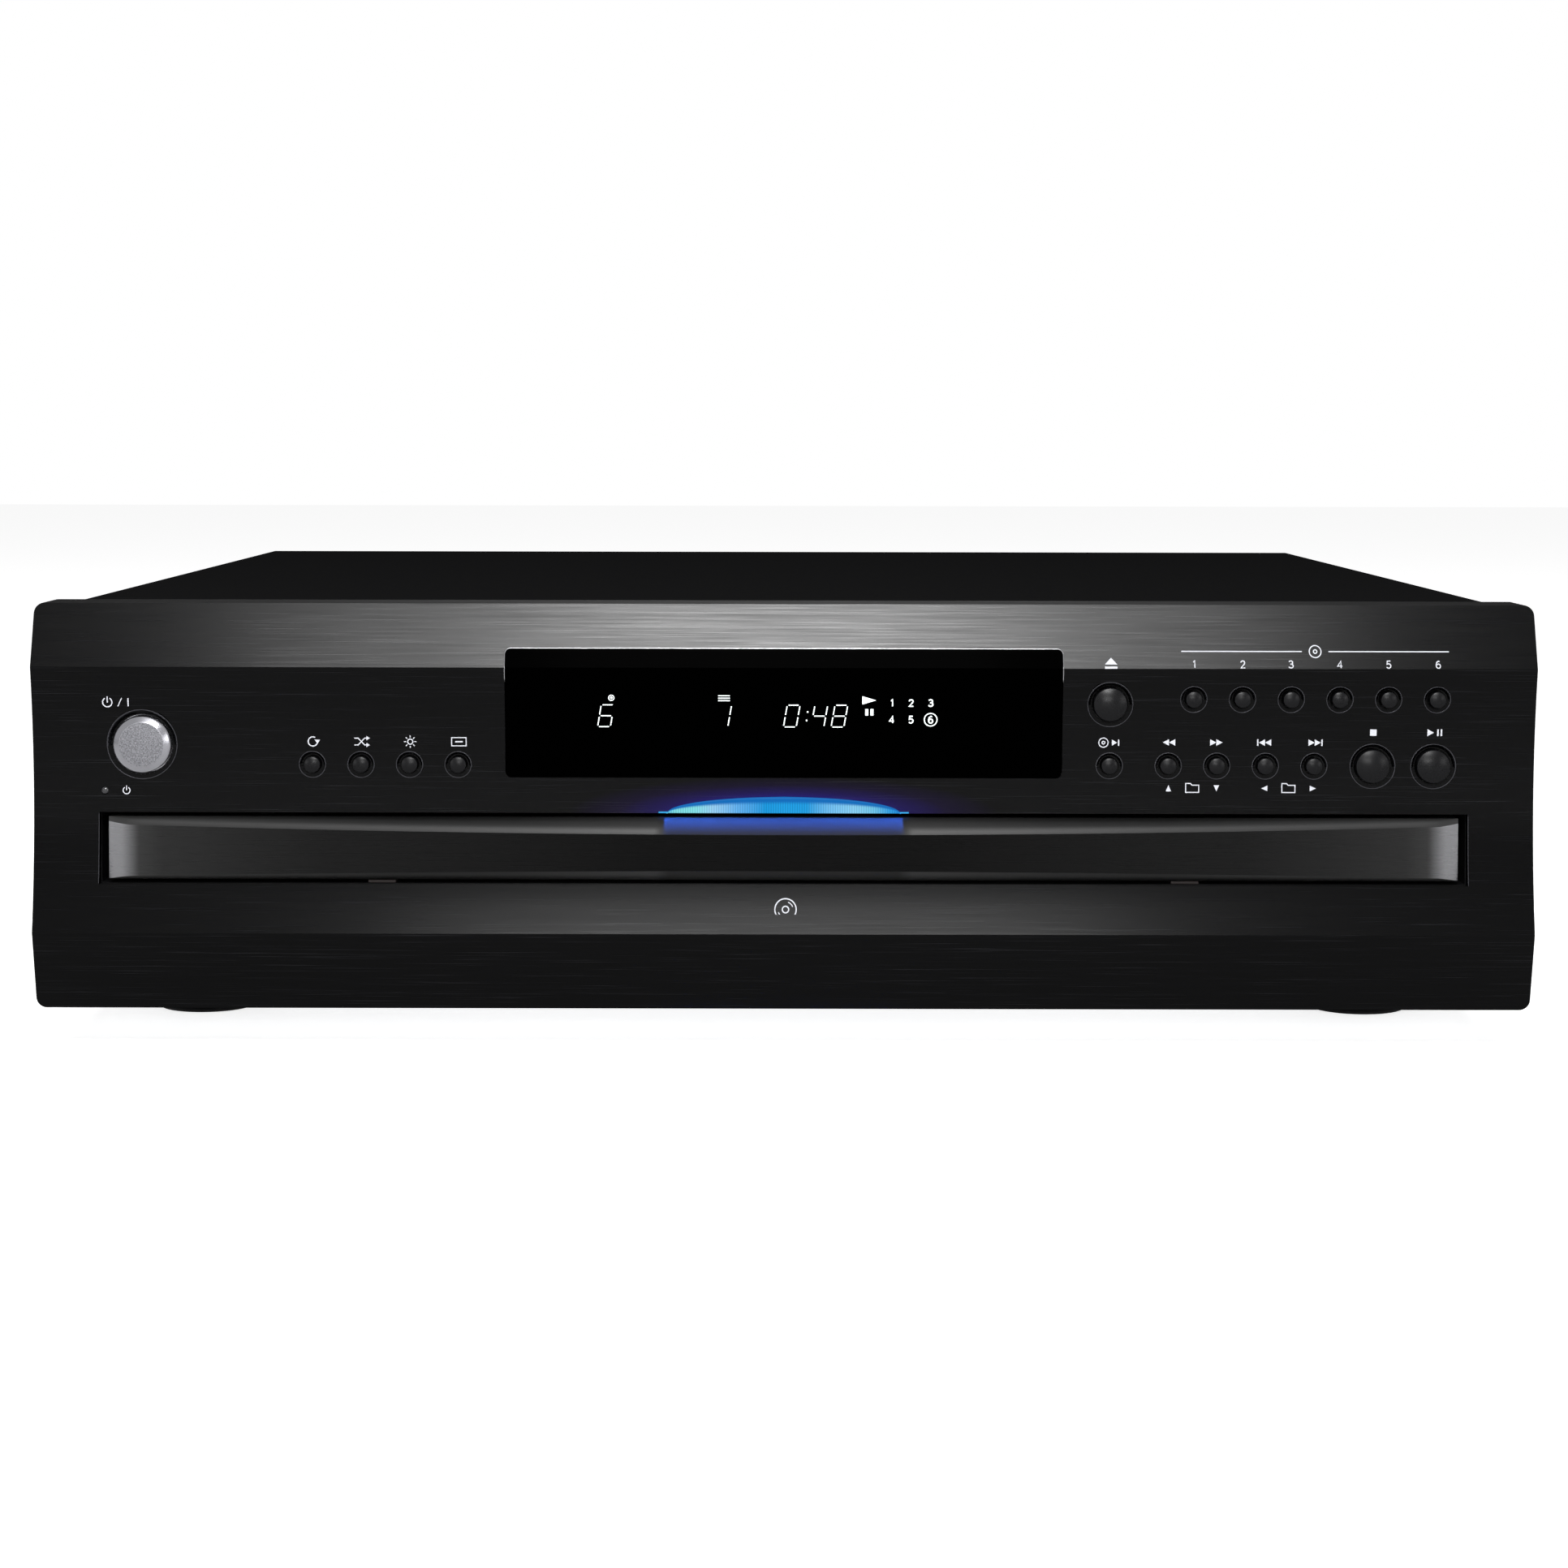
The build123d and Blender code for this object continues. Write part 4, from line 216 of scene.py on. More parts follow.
class Wiring:
    """Adds nodes to a tree and joins their sockets by short calls."""

    def __init__(self, tree):
        self.tree = tree

    def node(self, kind, **settings):
        """A new node with its settings."""
        made = self.tree.nodes.new("ShaderNode" + kind if not kind.startswith("Node") else kind)
        for label, value in settings.items():
            setattr(made, label, value)
        return made

    def join(self, source, target):
        """A link between two sockets."""
        self.tree.links.new(source, target)

    def feed(self, socket, value):
        """Joins a socket to an input, or sets a plain value on it."""
        if isinstance(value, bpy.types.NodeSocket):
            self.join(value, socket)
        elif value is not None:
            socket.default_value = value

    def give(self, shader, **sockets):
        """Feeds a shader's inputs, named in lower case."""
        for label, value in sockets.items():
            self.feed(shader.inputs[label.replace("_", " ").title()], value)

    def math(self, operation, first, second=None, third=None, clamp=False):
        """The result of a Math node."""
        made = self.node("Math", operation=operation, use_clamp=clamp)
        for place, value in enumerate((first, second, third)):
            self.feed(made.inputs[place], value)
        return made.outputs[0]

    def length(self, first, second):
        """Length of the flat vector (first, second)."""
        squares = [self.math("MULTIPLY", part, part) for part in (first, second)]
        return self.math("SQRT", self.math("ADD", *squares))

    def remap(self, value, low, high, to_low, to_high, smooth=False):
        """A value moved from one range to another, and held at its ends."""
        made = self.node("MapRange", interpolation_type="SMOOTHSTEP" if smooth else "LINEAR")
        for label, item in (("Value", value), ("From Min", low), ("From Max", high), ("To Min", to_low),
                            ("To Max", to_high)):
            self.feed(made.inputs[label], item)
        return made.outputs["Result"]

    def ramp(self, value, stops):
        """A colour ramp over stops (place, colour), where a single number is a grey."""
        made = self.node("ValToRGB")
        elements = made.color_ramp.elements
        while len(elements) < len(stops):
            elements.new(0.5)
        for element, (place, colour) in zip(elements, stops):
            element.position = place
            element.color = (*colour, 1) if isinstance(colour, tuple) else (colour, colour, colour, 1)
        self.join(value, made.inputs[0])
        return made.outputs[0]

    def blend(self, factor, first, second, kind="RGBA"):
        """A colour or vector between two by a factor."""
        mix = self.node("Mix", data_type=kind)
        self.join(factor, mix.inputs["Factor"])
        ends = [entry for entry in mix.inputs if entry.type == kind and entry.enabled]
        for socket, value in zip(ends, (first, second)):
            self.feed(socket, value)
        return [entry for entry in mix.outputs if entry.type == kind and entry.enabled][0]

    def scaled(self, vector, amount):
        """A vector or colour times an amount."""
        made = self.node("VectorMath", operation="SCALE")
        self.join(vector, made.inputs[0])
        self.join(amount, made.inputs["Scale"])
        return made.outputs[0]

    def place(self):
        """The x, y and z of the shaded point, in metres."""
        split = self.node("SeparateXYZ")
        self.join(self.node("TexCoord").outputs["Object"], split.inputs[0])
        return split.outputs[0], split.outputs[1], split.outputs[2]

    def noise(self, scale, detail, stretch=(1, 1, 1), rough=0.5):
        """Noise on object coordinates, in cycles per metre along each axis."""
        mapping = self.node("Mapping", vector_type="POINT")
        mapping.inputs["Scale"].default_value = stretch
        self.join(self.node("TexCoord").outputs["Object"], mapping.inputs["Vector"])
        made = self.node("TexNoise")
        for label, value in (("Scale", scale), ("Detail", detail), ("Roughness", rough)):
            made.inputs[label].default_value = value
        self.join(mapping.outputs[0], made.inputs["Vector"])
        return made.outputs["Fac"]


def make_group(name, output, kind="NodeSocketFloat", **inputs):
    """A shader node group with one output and float inputs: gives its wiring and its input node."""
    group = bpy.data.node_groups.new(name, "ShaderNodeTree")
    for label, value in inputs.items():
        socket = group.interface.new_socket(name=label, in_out="INPUT", socket_type="NodeSocketFloat")
        socket.default_value = value
    group.interface.new_socket(name=output, in_out="OUTPUT", socket_type=kind)
    wire = Wiring(group)
    return wire, wire.node("NodeGroupInput")


def closed_group(wire, result):
    """The finished group, with its result joined to the output."""
    wire.join(result, wire.node("NodeGroupOutput").inputs[0])
    return wire.tree


def brushed_streaks():
    """Fine lines along X: noise that is stretched along X, in two sizes, about 0.5 in the mean."""
    wire, given = make_group("brushed streaks", "Streak", Contrast=1.0)
    fine = wire.noise(1.0, 2.0, (45, 900, 5200), 0.6)
    broad = wire.noise(1.0, 2.0, (24, 300, 2300), 0.6)
    both = wire.math("ADD", wire.math("MULTIPLY", fine, 0.5), wire.math("MULTIPLY", broad, 0.5))
    spread = wire.math("MULTIPLY", wire.math("SUBTRACT", both, 0.5), given.outputs["Contrast"])
    return closed_group(wire, wire.math("ADD", spread, 0.5, clamp=True))


def moulded_speckle():
    """Even fine speckle of paint and mouldings: noise of a given number of grains to the metre."""
    wire, given = make_group("moulded speckle", "Speckle", Grains=1500.0)
    made = wire.node("TexNoise")
    made.inputs["Detail"].default_value = 1.5
    wire.join(wire.node("TexCoord").outputs["Object"], made.inputs["Vector"])
    wire.join(given.outputs["Grains"], made.inputs["Scale"])
    return closed_group(wire, made.outputs["Fac"])


def soft_wear():
    """Broad cloudy variation of a finish, as handling and cleaning leave it."""
    wire, given = make_group("soft wear", "Wear", Amount=0.1)
    cloud = wire.math("SUBTRACT", wire.noise(22.0, 3.0), 0.5)
    return closed_group(wire, wire.math("MULTIPLY", cloud, given.outputs["Amount"]))


def panel_normals():
    """Normals for the panel and its window. A surface that points another way than the panel's profile,
    such as a cut edge, takes the profile's normal at its height: its upward part is a piecewise linear
    function of height, with soft creases. On the face itself the result is zero, which leaves the mesh's
    own normal."""
    wire, _ = make_group("panel normals", "Normal", "NodeSocketVector")
    height = PANEL_TOP - PANEL_BOTTOM
    share = wire.remap(wire.place()[2], PANEL_BOTTOM, PANEL_TOP, 0, 1)
    soft = 0.35 * MM
    top = sin(atan2(TOP_LEAN, PANEL_TOP - UPPER_CREASE))
    bottom = -sin(atan2(BOTTOM_LEAN, LOWER_CREASE - PANEL_BOTTOM))
    edge = HALF_CHORD / HOLLOW_R
    lower = LOWER_CREASE - PANEL_BOTTOM
    upper = UPPER_CREASE - PANEL_BOTTOM
    stops = [(0.0, bottom), ((lower - soft) / height, bottom), ((lower + soft) / height, edge),
             ((upper - soft) / height, -edge), ((upper + soft) / height, top), (1.0, top)]
    up = wire.math("SUBTRACT", wire.ramp(share, [(place, value + 0.5) for place, value in stops]), 0.5)
    forward = wire.math("SQRT", wire.math("SUBTRACT", 1.0, wire.math("MULTIPLY", up, up)))
    joined = wire.node("CombineXYZ")
    wire.join(wire.math("MULTIPLY", forward, -1.0), joined.inputs["Y"])
    wire.join(up, joined.inputs["Z"])
    dot = wire.node("VectorMath", operation="DOT_PRODUCT")
    wire.join(wire.node("NewGeometry").outputs["True Normal"], dot.inputs[0])
    wire.join(joined.outputs[0], dot.inputs[1])
    same = wire.math("GREATER_THAN", dot.outputs["Value"], 0.985)
    return closed_group(wire, wire.blend(same, joined.outputs[0], (0, 0, 0), "VECTOR"))


STREAKS = brushed_streaks()
SPECKLE = moulded_speckle()
WEAR = soft_wear()
PROFILE = panel_normals()


# Materials

def start_material(name, metallic=0.0, specular=0.5, **constants):
    """A material with a Principled BSDF, whose constants stand on its own sockets."""
    material = bpy.data.materials.new(name)
    material.use_nodes = True
    wire = Wiring(material.node_tree)
    shader = material.node_tree.nodes["Principled BSDF"]
    shader.inputs["Specular IOR Level"].default_value = specular
    wire.give(shader, metallic=metallic, **constants)
    return material, wire, shader


def use_group(wire, group, **values):
    """Places a shared group in a material with its own values, and gives its output."""
    made = wire.node("Group")
    made.node_tree = group
    for label, value in values.items():
        made.inputs[label.title()].default_value = value
    return made.outputs[0]


def bumped(wire, shader, height, distance, normal=None):
    """Height in a Bump node that feeds the shader's Normal."""
    bump = wire.node("Bump")
    bump.inputs["Distance"].default_value = distance
    wire.join(height, bump.inputs["Height"])
    wire.feed(bump.inputs["Normal"], normal)
    wire.join(bump.outputs["Normal"], shader.inputs["Normal"])


def times(colour, amount):
    """A colour times an amount, at most 1."""
    return tuple(min(1, part * amount) for part in colour)


def moulding(name, colour, rough, specular=0.5, grains=1500.0, depth=0.004, spread=0.25):
    """Moulded plastic, paint or rubber: fine speckle in tone, gloss and height."""
    material, wire, shader = start_material(name, specular=specular)
    speckle = use_group(wire, SPECKLE, grains=grains)
    worn = wire.math("ADD", use_group(wire, WEAR, amount=0.15), rough)
    fleck = wire.math("MULTIPLY", wire.math("SUBTRACT", speckle, 0.5), 0.1)
    tone = wire.ramp(speckle, [(0.0, times(colour, 1 - spread)), (1.0, times(colour, 1 + spread))])
    wire.give(shader, base_color=tone, roughness=wire.math("ADD", worn, fleck))
    bumped(wire, shader, speckle, depth * MM)
    return material


def metal(name, colour, rough, streaky=1.0):
    """Bare or plated metal with fine drawn streaks."""
    material, wire, shader = start_material(name, metallic=1.0)
    streak = use_group(wire, STREAKS, contrast=streaky)
    tone = wire.ramp(streak, [(0.0, times(colour, 0.82)), (1.0, times(colour, 1.12))])
    wire.give(shader, base_color=tone,
              roughness=wire.math("ADD", wire.math("MULTIPLY", streak, 0.15), rough - 0.07))
    bumped(wire, shader, streak, 0.003 * MM)
    return material


def panel_metal():
    """Black anodised aluminium, brushed along X, duller on its sawn top edge, with a painted blue glow round
    the light.
    """
    material, wire, shader = start_material("black brushed aluminium", specular=0.072)
    streak = use_group(wire, STREAKS, contrast=2.3)
    top_edge = wire.remap(wire.place()[2], PANEL_TOP - 0.12 * MM, PANEL_TOP - 0.02 * MM, 0, 0.2)
    tone = wire.ramp(streak, [(0.0, 0.0001), (0.5, (0.0002, 0.0002, 0.0003)), (0.7, (0.0009, 0.0009, 0.0012)),
                              (0.92, (0.0075, 0.0075, 0.0085))])
    # The panel's emission is a painted glow round the light guide, not a lamp.
    wire.give(shader, base_color=tone, emission_color=painted_glow_round_light(wire), emission_strength=1.0,
              roughness=wire.math("ADD", wire.remap(streak, 0.15, 0.85, 0.24, 0.15), top_edge))
    bumped(wire, shader, streak, 0.0012 * MM, use_group(wire, PROFILE))
    return material


def painted_glow_round_light(wire):
    """Painted violet-blue glow round the lit arch, given as emission on the panel itself: it falls off with
    the distance from an ellipse.
    """
    x, y, z = wire.place()
    across = wire.math("DIVIDE", x, 36.5 * MM)
    above = wire.math("DIVIDE", wire.math("SUBTRACT", z, SLOT_TOP), 6.2 * MM)
    reach = wire.remap(wire.length(across, above), 0.7, 1.7, 0, 1)
    # Painted glow colour, strongest next to the arch and fading outwards.
    glow = wire.ramp(reach, [(0.0, (0.012, 0.006, 0.16)), (0.3, (0.008, 0.003, 0.07)),
                             (0.6, (0.004, 0.001, 0.018)), (1.0, 0.0)])
    return wire.scaled(glow, wire.math("LESS_THAN", y, FRONT + HOLLOW + 0.6 * MM))


def window_gloss():
    """Tinted clear moulding over a dark display: black and polished."""
    material, wire, shader = start_material("tinted window", specular=0.0002,
                                            base_color=(0.0001, 0.0001, 0.0001, 1))
    wire.give(shader, roughness=wire.math("ADD", use_group(wire, WEAR, amount=0.05), 0.09),
              normal=use_group(wire, PROFILE))
    return material


def lit_face(name, light, dark, base, grains=1400.0, strength=1.0, specular=0.05):
    """A face that glows evenly, with a fine grain between a dark and a light tone."""
    material, wire, shader = start_material(name, specular=specular, base_color=(*base, 1))
    grain = use_group(wire, SPECKLE, grains=grains)
    tone = wire.ramp(grain, [(0.2, dark), (0.8, light)])
    wire.give(shader, emission_color=tone, emission_strength=strength)
    return material


def light_guide():
    """Ribbed blue light guide: paler towards its ends and lower edge, blue along the arch."""
    material, wire, shader = start_material("blue light guide", specular=0.03, roughness=0.3,
                                            base_color=(0.002, 0.006, 0.02, 1))
    x, _, z = wire.place()
    along = wire.remap(x, -34 * MM, 34 * MM, 0, 1)
    low = wire.ramp(along, [(0.0, (0.1, 0.5, 0.7)), (0.04, (0.2, 0.68, 0.7)), (0.12, (0.22, 0.72, 0.74)),
                            (0.2, (0.3, 0.6, 0.84)), (0.3, (0.12, 0.42, 0.8)), (0.42, (0.006, 0.3, 0.68)),
                            (0.5, (0.01, 0.33, 0.72)), (0.6, (0.01, 0.32, 0.7)), (0.7, (0.16, 0.5, 0.82)),
                            (0.8, (0.24, 0.6, 0.84)), (0.88, (0.16, 0.54, 0.76)), (0.95, (0.03, 0.34, 0.7)),
                            (1.0, (0.005, 0.22, 0.62))])
    ribs = wire.math("SINE", wire.math("MULTIPLY", x, 2 * pi / RIB_PITCH))
    ribbed = wire.scaled(low, wire.remap(ribs, -1, 1, 0.78, 1.12))
    share = wire.math("DIVIDE", x, ARCH_HALF)
    ellipse = wire.math("SUBTRACT", 1.0, wire.math("MULTIPLY", share, share), clamp=True)
    top = wire.math("MULTIPLY", wire.math("SQRT", ellipse), ARCH_HEIGHT)
    under = wire.math("DIVIDE", wire.math("SUBTRACT", z, SLOT_TOP), wire.math("MAXIMUM", top, 0.3 * MM))
    rim = wire.remap(under, 0.5, 0.78, 0, 1, smooth=True)
    wire.give(shader, emission_color=wire.blend(rim, ribbed, (0.0, 0.14, 0.46, 1)), emission_strength=1.0)
    return material


def bar_metal():
    """Dark metal bar of the tray: near-black in the middle of its face; a painted reflection makes it a
    little paler outwards and bright on its swept ends. The rounded slopes above and below, where |z - middle|
    is over narrow + slope (y - face), are satin paint, duller under the light guide; their tone is painted
    light and shade, darker under the light guide and palest beside it."""
    material, wire, shader = start_material("dark brushed bar", specular=0.14)
    low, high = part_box("tray_front")
    tall = (high[2] - low[2]) / 2
    x, y, z = wire.place()
    above = wire.math("SUBTRACT", z, centre("tray_front")[2])
    away = wire.math("MAXIMUM", wire.math("SUBTRACT", above, BAR_LIFT), wire.math("MULTIPLY", above, -1.0))
    plane = wire.math("MULTIPLY_ADD", y, BAR_SLOPE, tall - (low[1] + BAR_REACH) * BAR_SLOPE)
    face = wire.remap(wire.math("SUBTRACT", away, plane), -0.02 * MM, 0.03 * MM, 1, 0)
    outward = wire.math("DIVIDE", wire.math("ABSOLUTE", x), high[0])
    # Painted reflection: the face's tone rises from the middle outwards to bright swept ends.
    tone = wire.ramp(outward, [(0.0, 0.0046), (0.2, 0.0049), (0.5, 0.0078), (0.68, 0.0095), (0.8, 0.0138),
                               (0.92, 0.02), (0.955, 0.03), (0.98, (0.15, 0.15, 0.156)),
                               (1.0, (0.172, 0.172, 0.18))])
    # Painted light and shade on the slopes: darker under the light guide, palest beside it.
    slope = wire.ramp(outward, [(0.0, 0.0065), (0.17, 0.0065), (0.19, 0.016), (0.4, 0.008), (0.557, 0.006),
                                (0.75, 0.01), (0.916, 0.015), (1.0, 0.016)])
    streak = use_group(wire, STREAKS, contrast=1.5)
    dull = wire.math("MULTIPLY", wire.remap(outward, 0.17, 0.19, 0.3, 0), wire.math("SUBTRACT", 1.0, face))
    rough = wire.math("ADD", wire.remap(face, 0, 1, 0.41, 0.31), dull)
    wire.give(shader, base_color=wire.blend(face, slope, tone), metallic=face,
              roughness=wire.math("MULTIPLY_ADD", streak, -0.06, rough))
    bumped(wire, shader, streak, 0.0006 * MM)
    return material


def jack_finish():
    """Plated sockets, which stand out beyond the black faces of their housings."""
    material, wire, shader = start_material("plated sockets in black housings", specular=0.3)
    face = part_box("rear_panel")[1][1] + 2.2 * MM
    out = wire.remap(wire.place()[1], face, face + 0.1 * MM, 0, 1)
    streak = use_group(wire, STREAKS, contrast=0.5)
    gold = wire.ramp(streak, [(0.0, (0.64, 0.49, 0.22)), (1.0, (0.87, 0.67, 0.3))])
    wire.give(shader, base_color=wire.blend(out, (0.012, 0.012, 0.013, 1), gold), metallic=out,
              roughness=wire.remap(out, 0, 1, 0.4, 0.2))
    bumped(wire, shader, streak, 0.002 * MM)
    return material


def cover_paint():
    """Black paint of the cover: dead matte on the top, satin on the side walls |x| > half - 2 mm."""
    material, wire, shader = start_material("matte black paint", specular=0.0, coat_roughness=0.45)
    speckle = use_group(wire, SPECKLE, grains=1100.0)
    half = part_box("top_cover")[1][0]
    outer = wire.math("ABSOLUTE", wire.place()[0])
    tone = wire.ramp(speckle, [(0.0, (0.006, 0.006, 0.0062)), (1.0, (0.0105, 0.0105, 0.0108))])
    wire.give(shader, base_color=tone, roughness=wire.math("ADD", use_group(wire, WEAR, amount=0.15), 0.62),
              coat_weight=wire.remap(outer, half - 2.0 * MM, half - 0.3 * MM, 0, 0.4, smooth=True))
    bumped(wire, shader, speckle, 0.004 * MM)
    return material


def silver_button():
    """Clear anodised aluminium: a bead-blasted face inside a bright turned chamfer."""
    material, wire, shader = start_material("silver aluminium", metallic=1.0, specular=0.3)
    middle_x, _, middle_z = centre("power_button")
    x, _, z = wire.place()
    radius = wire.length(wire.math("SUBTRACT", x, middle_x), wire.math("SUBTRACT", z, middle_z))
    ring = wire.remap(radius, 6.3 * MM, 6.6 * MM, 0, 1)
    speckle = use_group(wire, SPECKLE, grains=2600.0)
    face = wire.math("MULTIPLY", speckle, wire.math("SUBTRACT", 1.0, ring))
    tone = wire.ramp(wire.math("ADD", face, wire.math("MULTIPLY", ring, 0.9)),
                     [(0.25, (0.062, 0.062, 0.067)), (0.6, (0.17, 0.17, 0.183)), (0.88, (0.25, 0.25, 0.268))])
    wire.give(shader, base_color=tone, roughness=wire.remap(ring, 0, 1, 0.42, 0.2))
    bumped(wire, shader, face, 0.02 * MM)
    return material


# The light guide's and the tray bar's own sizes, which their materials use too
RIB_PITCH = 0.69 * MM
ARCH_HALF = 33.7 * MM
ARCH_HEIGHT = 4.7 * MM
BAR_BULGE = 3.5 * MM
BAR_SWEEP = 1.4 * MM
BAR_END = 6.1 * MM
BAR_SLOPE = 0.635
BAR_REACH = BAR_BULGE + BAR_SWEEP + 0.2 * MM
BAR_LIFT = 0.6 * MM
BAR_RISE = 1.9 * MM

FINISH = {
    "panel": panel_metal(),
    "window": window_gloss(),
    "light": light_guide(),
    "silver": silver_button(),
    "cover": cover_paint(),
    "bar": bar_metal(),
    "jacks": jack_finish(),
    "lit": lit_face("lit segments", (0.95, 1.0, 1.0), (0.75, 0.82, 0.84), (0.6, 0.65, 0.65), 900.0,
                    specular=0.0),
    "blue_edge": lit_face("lit blue edge", (0.03, 0.42, 0.85), (0.0255, 0.357, 0.7225), (0.01, 0.02, 0.05)),
    "blue_ceiling": lit_face("lit slot ceiling", (0.09, 0.22, 1.0), (0.0765, 0.187, 0.85), (0.01, 0.02, 0.05),
                             strength=1.1),
    "rear": moulding("dark grey paint", (0.02, 0.02, 0.021), 0.5, 0.22, 1300.0),
    "button": moulding("black button", (0.002, 0.002, 0.0025), 0.3, 0.12, 3000.0, 0.0006),
    "black": moulding("black moulding", (0.004, 0.004, 0.0044), 0.5, 0.06, 1800.0),
    "tray": moulding("dark grey moulding", (0.014, 0.014, 0.0155), 0.5, 0.25, 1600.0, 0.006),
    "carrier": moulding("black carrier moulding", (0.009, 0.009, 0.01), 0.42, 0.25, 1400.0, 0.006),
    "rubber": moulding("soft black rubber", (0.012, 0.012, 0.012), 0.75, 0.3, 2500.0, 0.01),
    "white": moulding("white moulding", (0.7, 0.69, 0.65), 0.4, 0.5, 1800.0, 0.002, spread=0.05),
    "board": moulding("green board", (0.02, 0.09, 0.035), 0.35, 0.5, 700.0, spread=0.3),
    "glass": moulding("display tube glass", (0.03, 0.035, 0.035), 0.08, 0.5, 600.0, 0.0005),
    "print": moulding("grey printing", (0.5, 0.51, 0.55), 0.5, 0.2, 4000.0, 0.001, spread=0.08),
    "pad": moulding("brown slip tape", (0.035, 0.027, 0.026), 0.5, 0.3, 2500.0),
    "lens": moulding("clear blue lens", (0.02, 0.03, 0.09), 0.05, 0.8, 300.0, 0.0002),
    "smoke": moulding("smoked lamp lens", (0.02, 0.02, 0.022), 0.12, 0.4, 900.0, 0.0005),
    "red": moulding("red insulator", (0.45, 0.02, 0.02), 0.35),
    "orange": moulding("orange insulator", (0.6, 0.2, 0.02), 0.35),
    "zinc": metal("zinc plated steel", (0.5, 0.51, 0.53), 0.36),
    "can": metal("nickel plated can", (0.6, 0.6, 0.59), 0.24, 0.6),
    "ground": metal("ground steel", (0.66, 0.66, 0.67), 0.16, 0.8),
    "core": metal("laminated core", (0.2, 0.2, 0.21), 0.45, 2.0),
    "copper": metal("copper winding", (0.75, 0.35, 0.18), 0.3, 1.5),
    "dark_screw": metal("black screws", (0.05, 0.05, 0.055), 0.35),
    "rim": metal("bright machined edge", (0.26, 0.26, 0.27), 0.25, 0.5),
    "sink": metal("machined countersink", (0.045, 0.045, 0.05), 0.27, 0.5),
}


# CAD nodes with their finishes

DRESS = {
    "root": {"cover": ["top_cover"], "rear": ["rear_panel"], "black": ["sub_panel", "feet", "ac_inlet"],
             "glass": ["display_tube"], "board": ["front_board", "main_board"], "rubber": ["foot_pads"],
             "zinc": ["chassis_base", "clamper_arm"], "core": ["transformer"],
             "tray": ["guide_rail_left", "guide_rail_right", "lift_tower"],
             "can": ["loading_motor", "lift_motor"], "jacks": ["output_jacks"]},
    "drawer": {"tray": ["drawer_tray"], "carrier": ["hub_cap"], "can": ["carousel_motor"],
               "rubber": ["carousel_belt"]},
    "pickup": {"black": ["pickup_frame"], "can": ["spindle_motor"], "ground": ["guide_rods"]},
    "carousel": {"carrier": ["carousel"]}, "carousel_gear": {"white": ["carousel_gear"]},
    "carousel_motor_pulley": {"white": ["carousel_motor_pulley"]},
    "loading_idler": {"white": ["loading_idler"]}, "loading_gear": {"white": ["loading_gear"]},
    "loading_motor_pinion": {"white": ["loading_motor_pinion"]}, "turntable": {"black": ["turntable"]},
    "laser_sled": {"black": ["laser_sled"]}, "cam_slider": {"white": ["cam_slider"]},
    "lift_gear": {"white": ["lift_gear"]}, "clamper": {"white": ["clamper"]},
}
for body, finishes in DRESS.items():
    for finish, nodes in finishes.items():
        for node in nodes:
            dressed(node, FINISH[finish], body)
for node, finish in (("fascia", "panel"), ("display_window", "window")):
    shown = frame["nodes"][node]
    shown.data.materials.clear()
    shown.data.materials.append(FINISH[finish])


# Buttons, with the countersinks round them

BUTTONS = sorted(name for name in frame["bodies"] if name.endswith("_button"))
POWER_D = 16.6 * MM
BIG_D = 9.8 * MM
SMALL_D = 4.7 * MM
HOLE_PLAY = 0.7 * MM
FLANGE_DEPTH = 4.2 * MM
FLANGE_THICK = 1.2 * MM
DOME_SHARE = 0.94


def walled(obj, thickness):
    """Gives a surface a wall behind it."""
    wall = obj.modifiers.new("wall", "SOLIDIFY")
    wall.thickness = thickness
    wall.offset = -1
    return obj


def button_size(node):
    """Diameter of a button by its name."""
    if node == "power_button":
        return POWER_D
    return BIG_D if node in ("open_close_button", "stop_button", "play_pause_button") else SMALL_D


def button_cap(node):
    """A button as a solid of revolution: a dome y = front + rise (r / R)^2, or the flat chamfered face of
    the power button, with a rounded shoulder, its flange and its stem."""
    low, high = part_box(node)
    x, _, z = centre(node)
    radius = button_size(node) / 2
    surface = float(panel_y(z))
    front = low[1]
    back = high[1]
    flange = (high[0] - low[0]) / 2
    if node == "power_button":
        face = [(0, front), (radius * 0.775, front), (radius * 0.79, front + 0.05 * MM),
                (radius * 0.965, front + 0.75 * MM), (radius, front + 1.05 * MM)]
        face = rounded_profile(face, 0.15 * MM)
    else:
        rise = 0.2 * radius
        share = np.linspace(0, DOME_SHARE, 12)
        dome = np.stack([share * radius, front + rise * share**2], axis=1)
        shoulder = np.linspace(0, pi / 2, 6)[1:]
        edge_r = 0.06 * radius
        turned_r = DOME_SHARE * radius + edge_r * np.sin(shoulder)
        turned_y = front + rise * DOME_SHARE**2 + 2 * edge_r * (1 - np.cos(shoulder))
        face = np.vstack([dome, np.stack([turned_r, turned_y], axis=1)])
    flange_y = surface + FLANGE_DEPTH
    flange_back = flange_y + FLANGE_THICK
    stem = radius * 0.6
    rest = [(radius, flange_y), (flange, flange_y), (flange, flange_back), (stem, flange_back), (stem, back),
            (0, back)]
    mesh = revolved(node + "_cap", np.vstack([face, rest]), x, z, 72)
    finish = FINISH["silver" if node == "power_button" else "button"]
    return new_object(node + "_cap", mesh, finish, node, node)


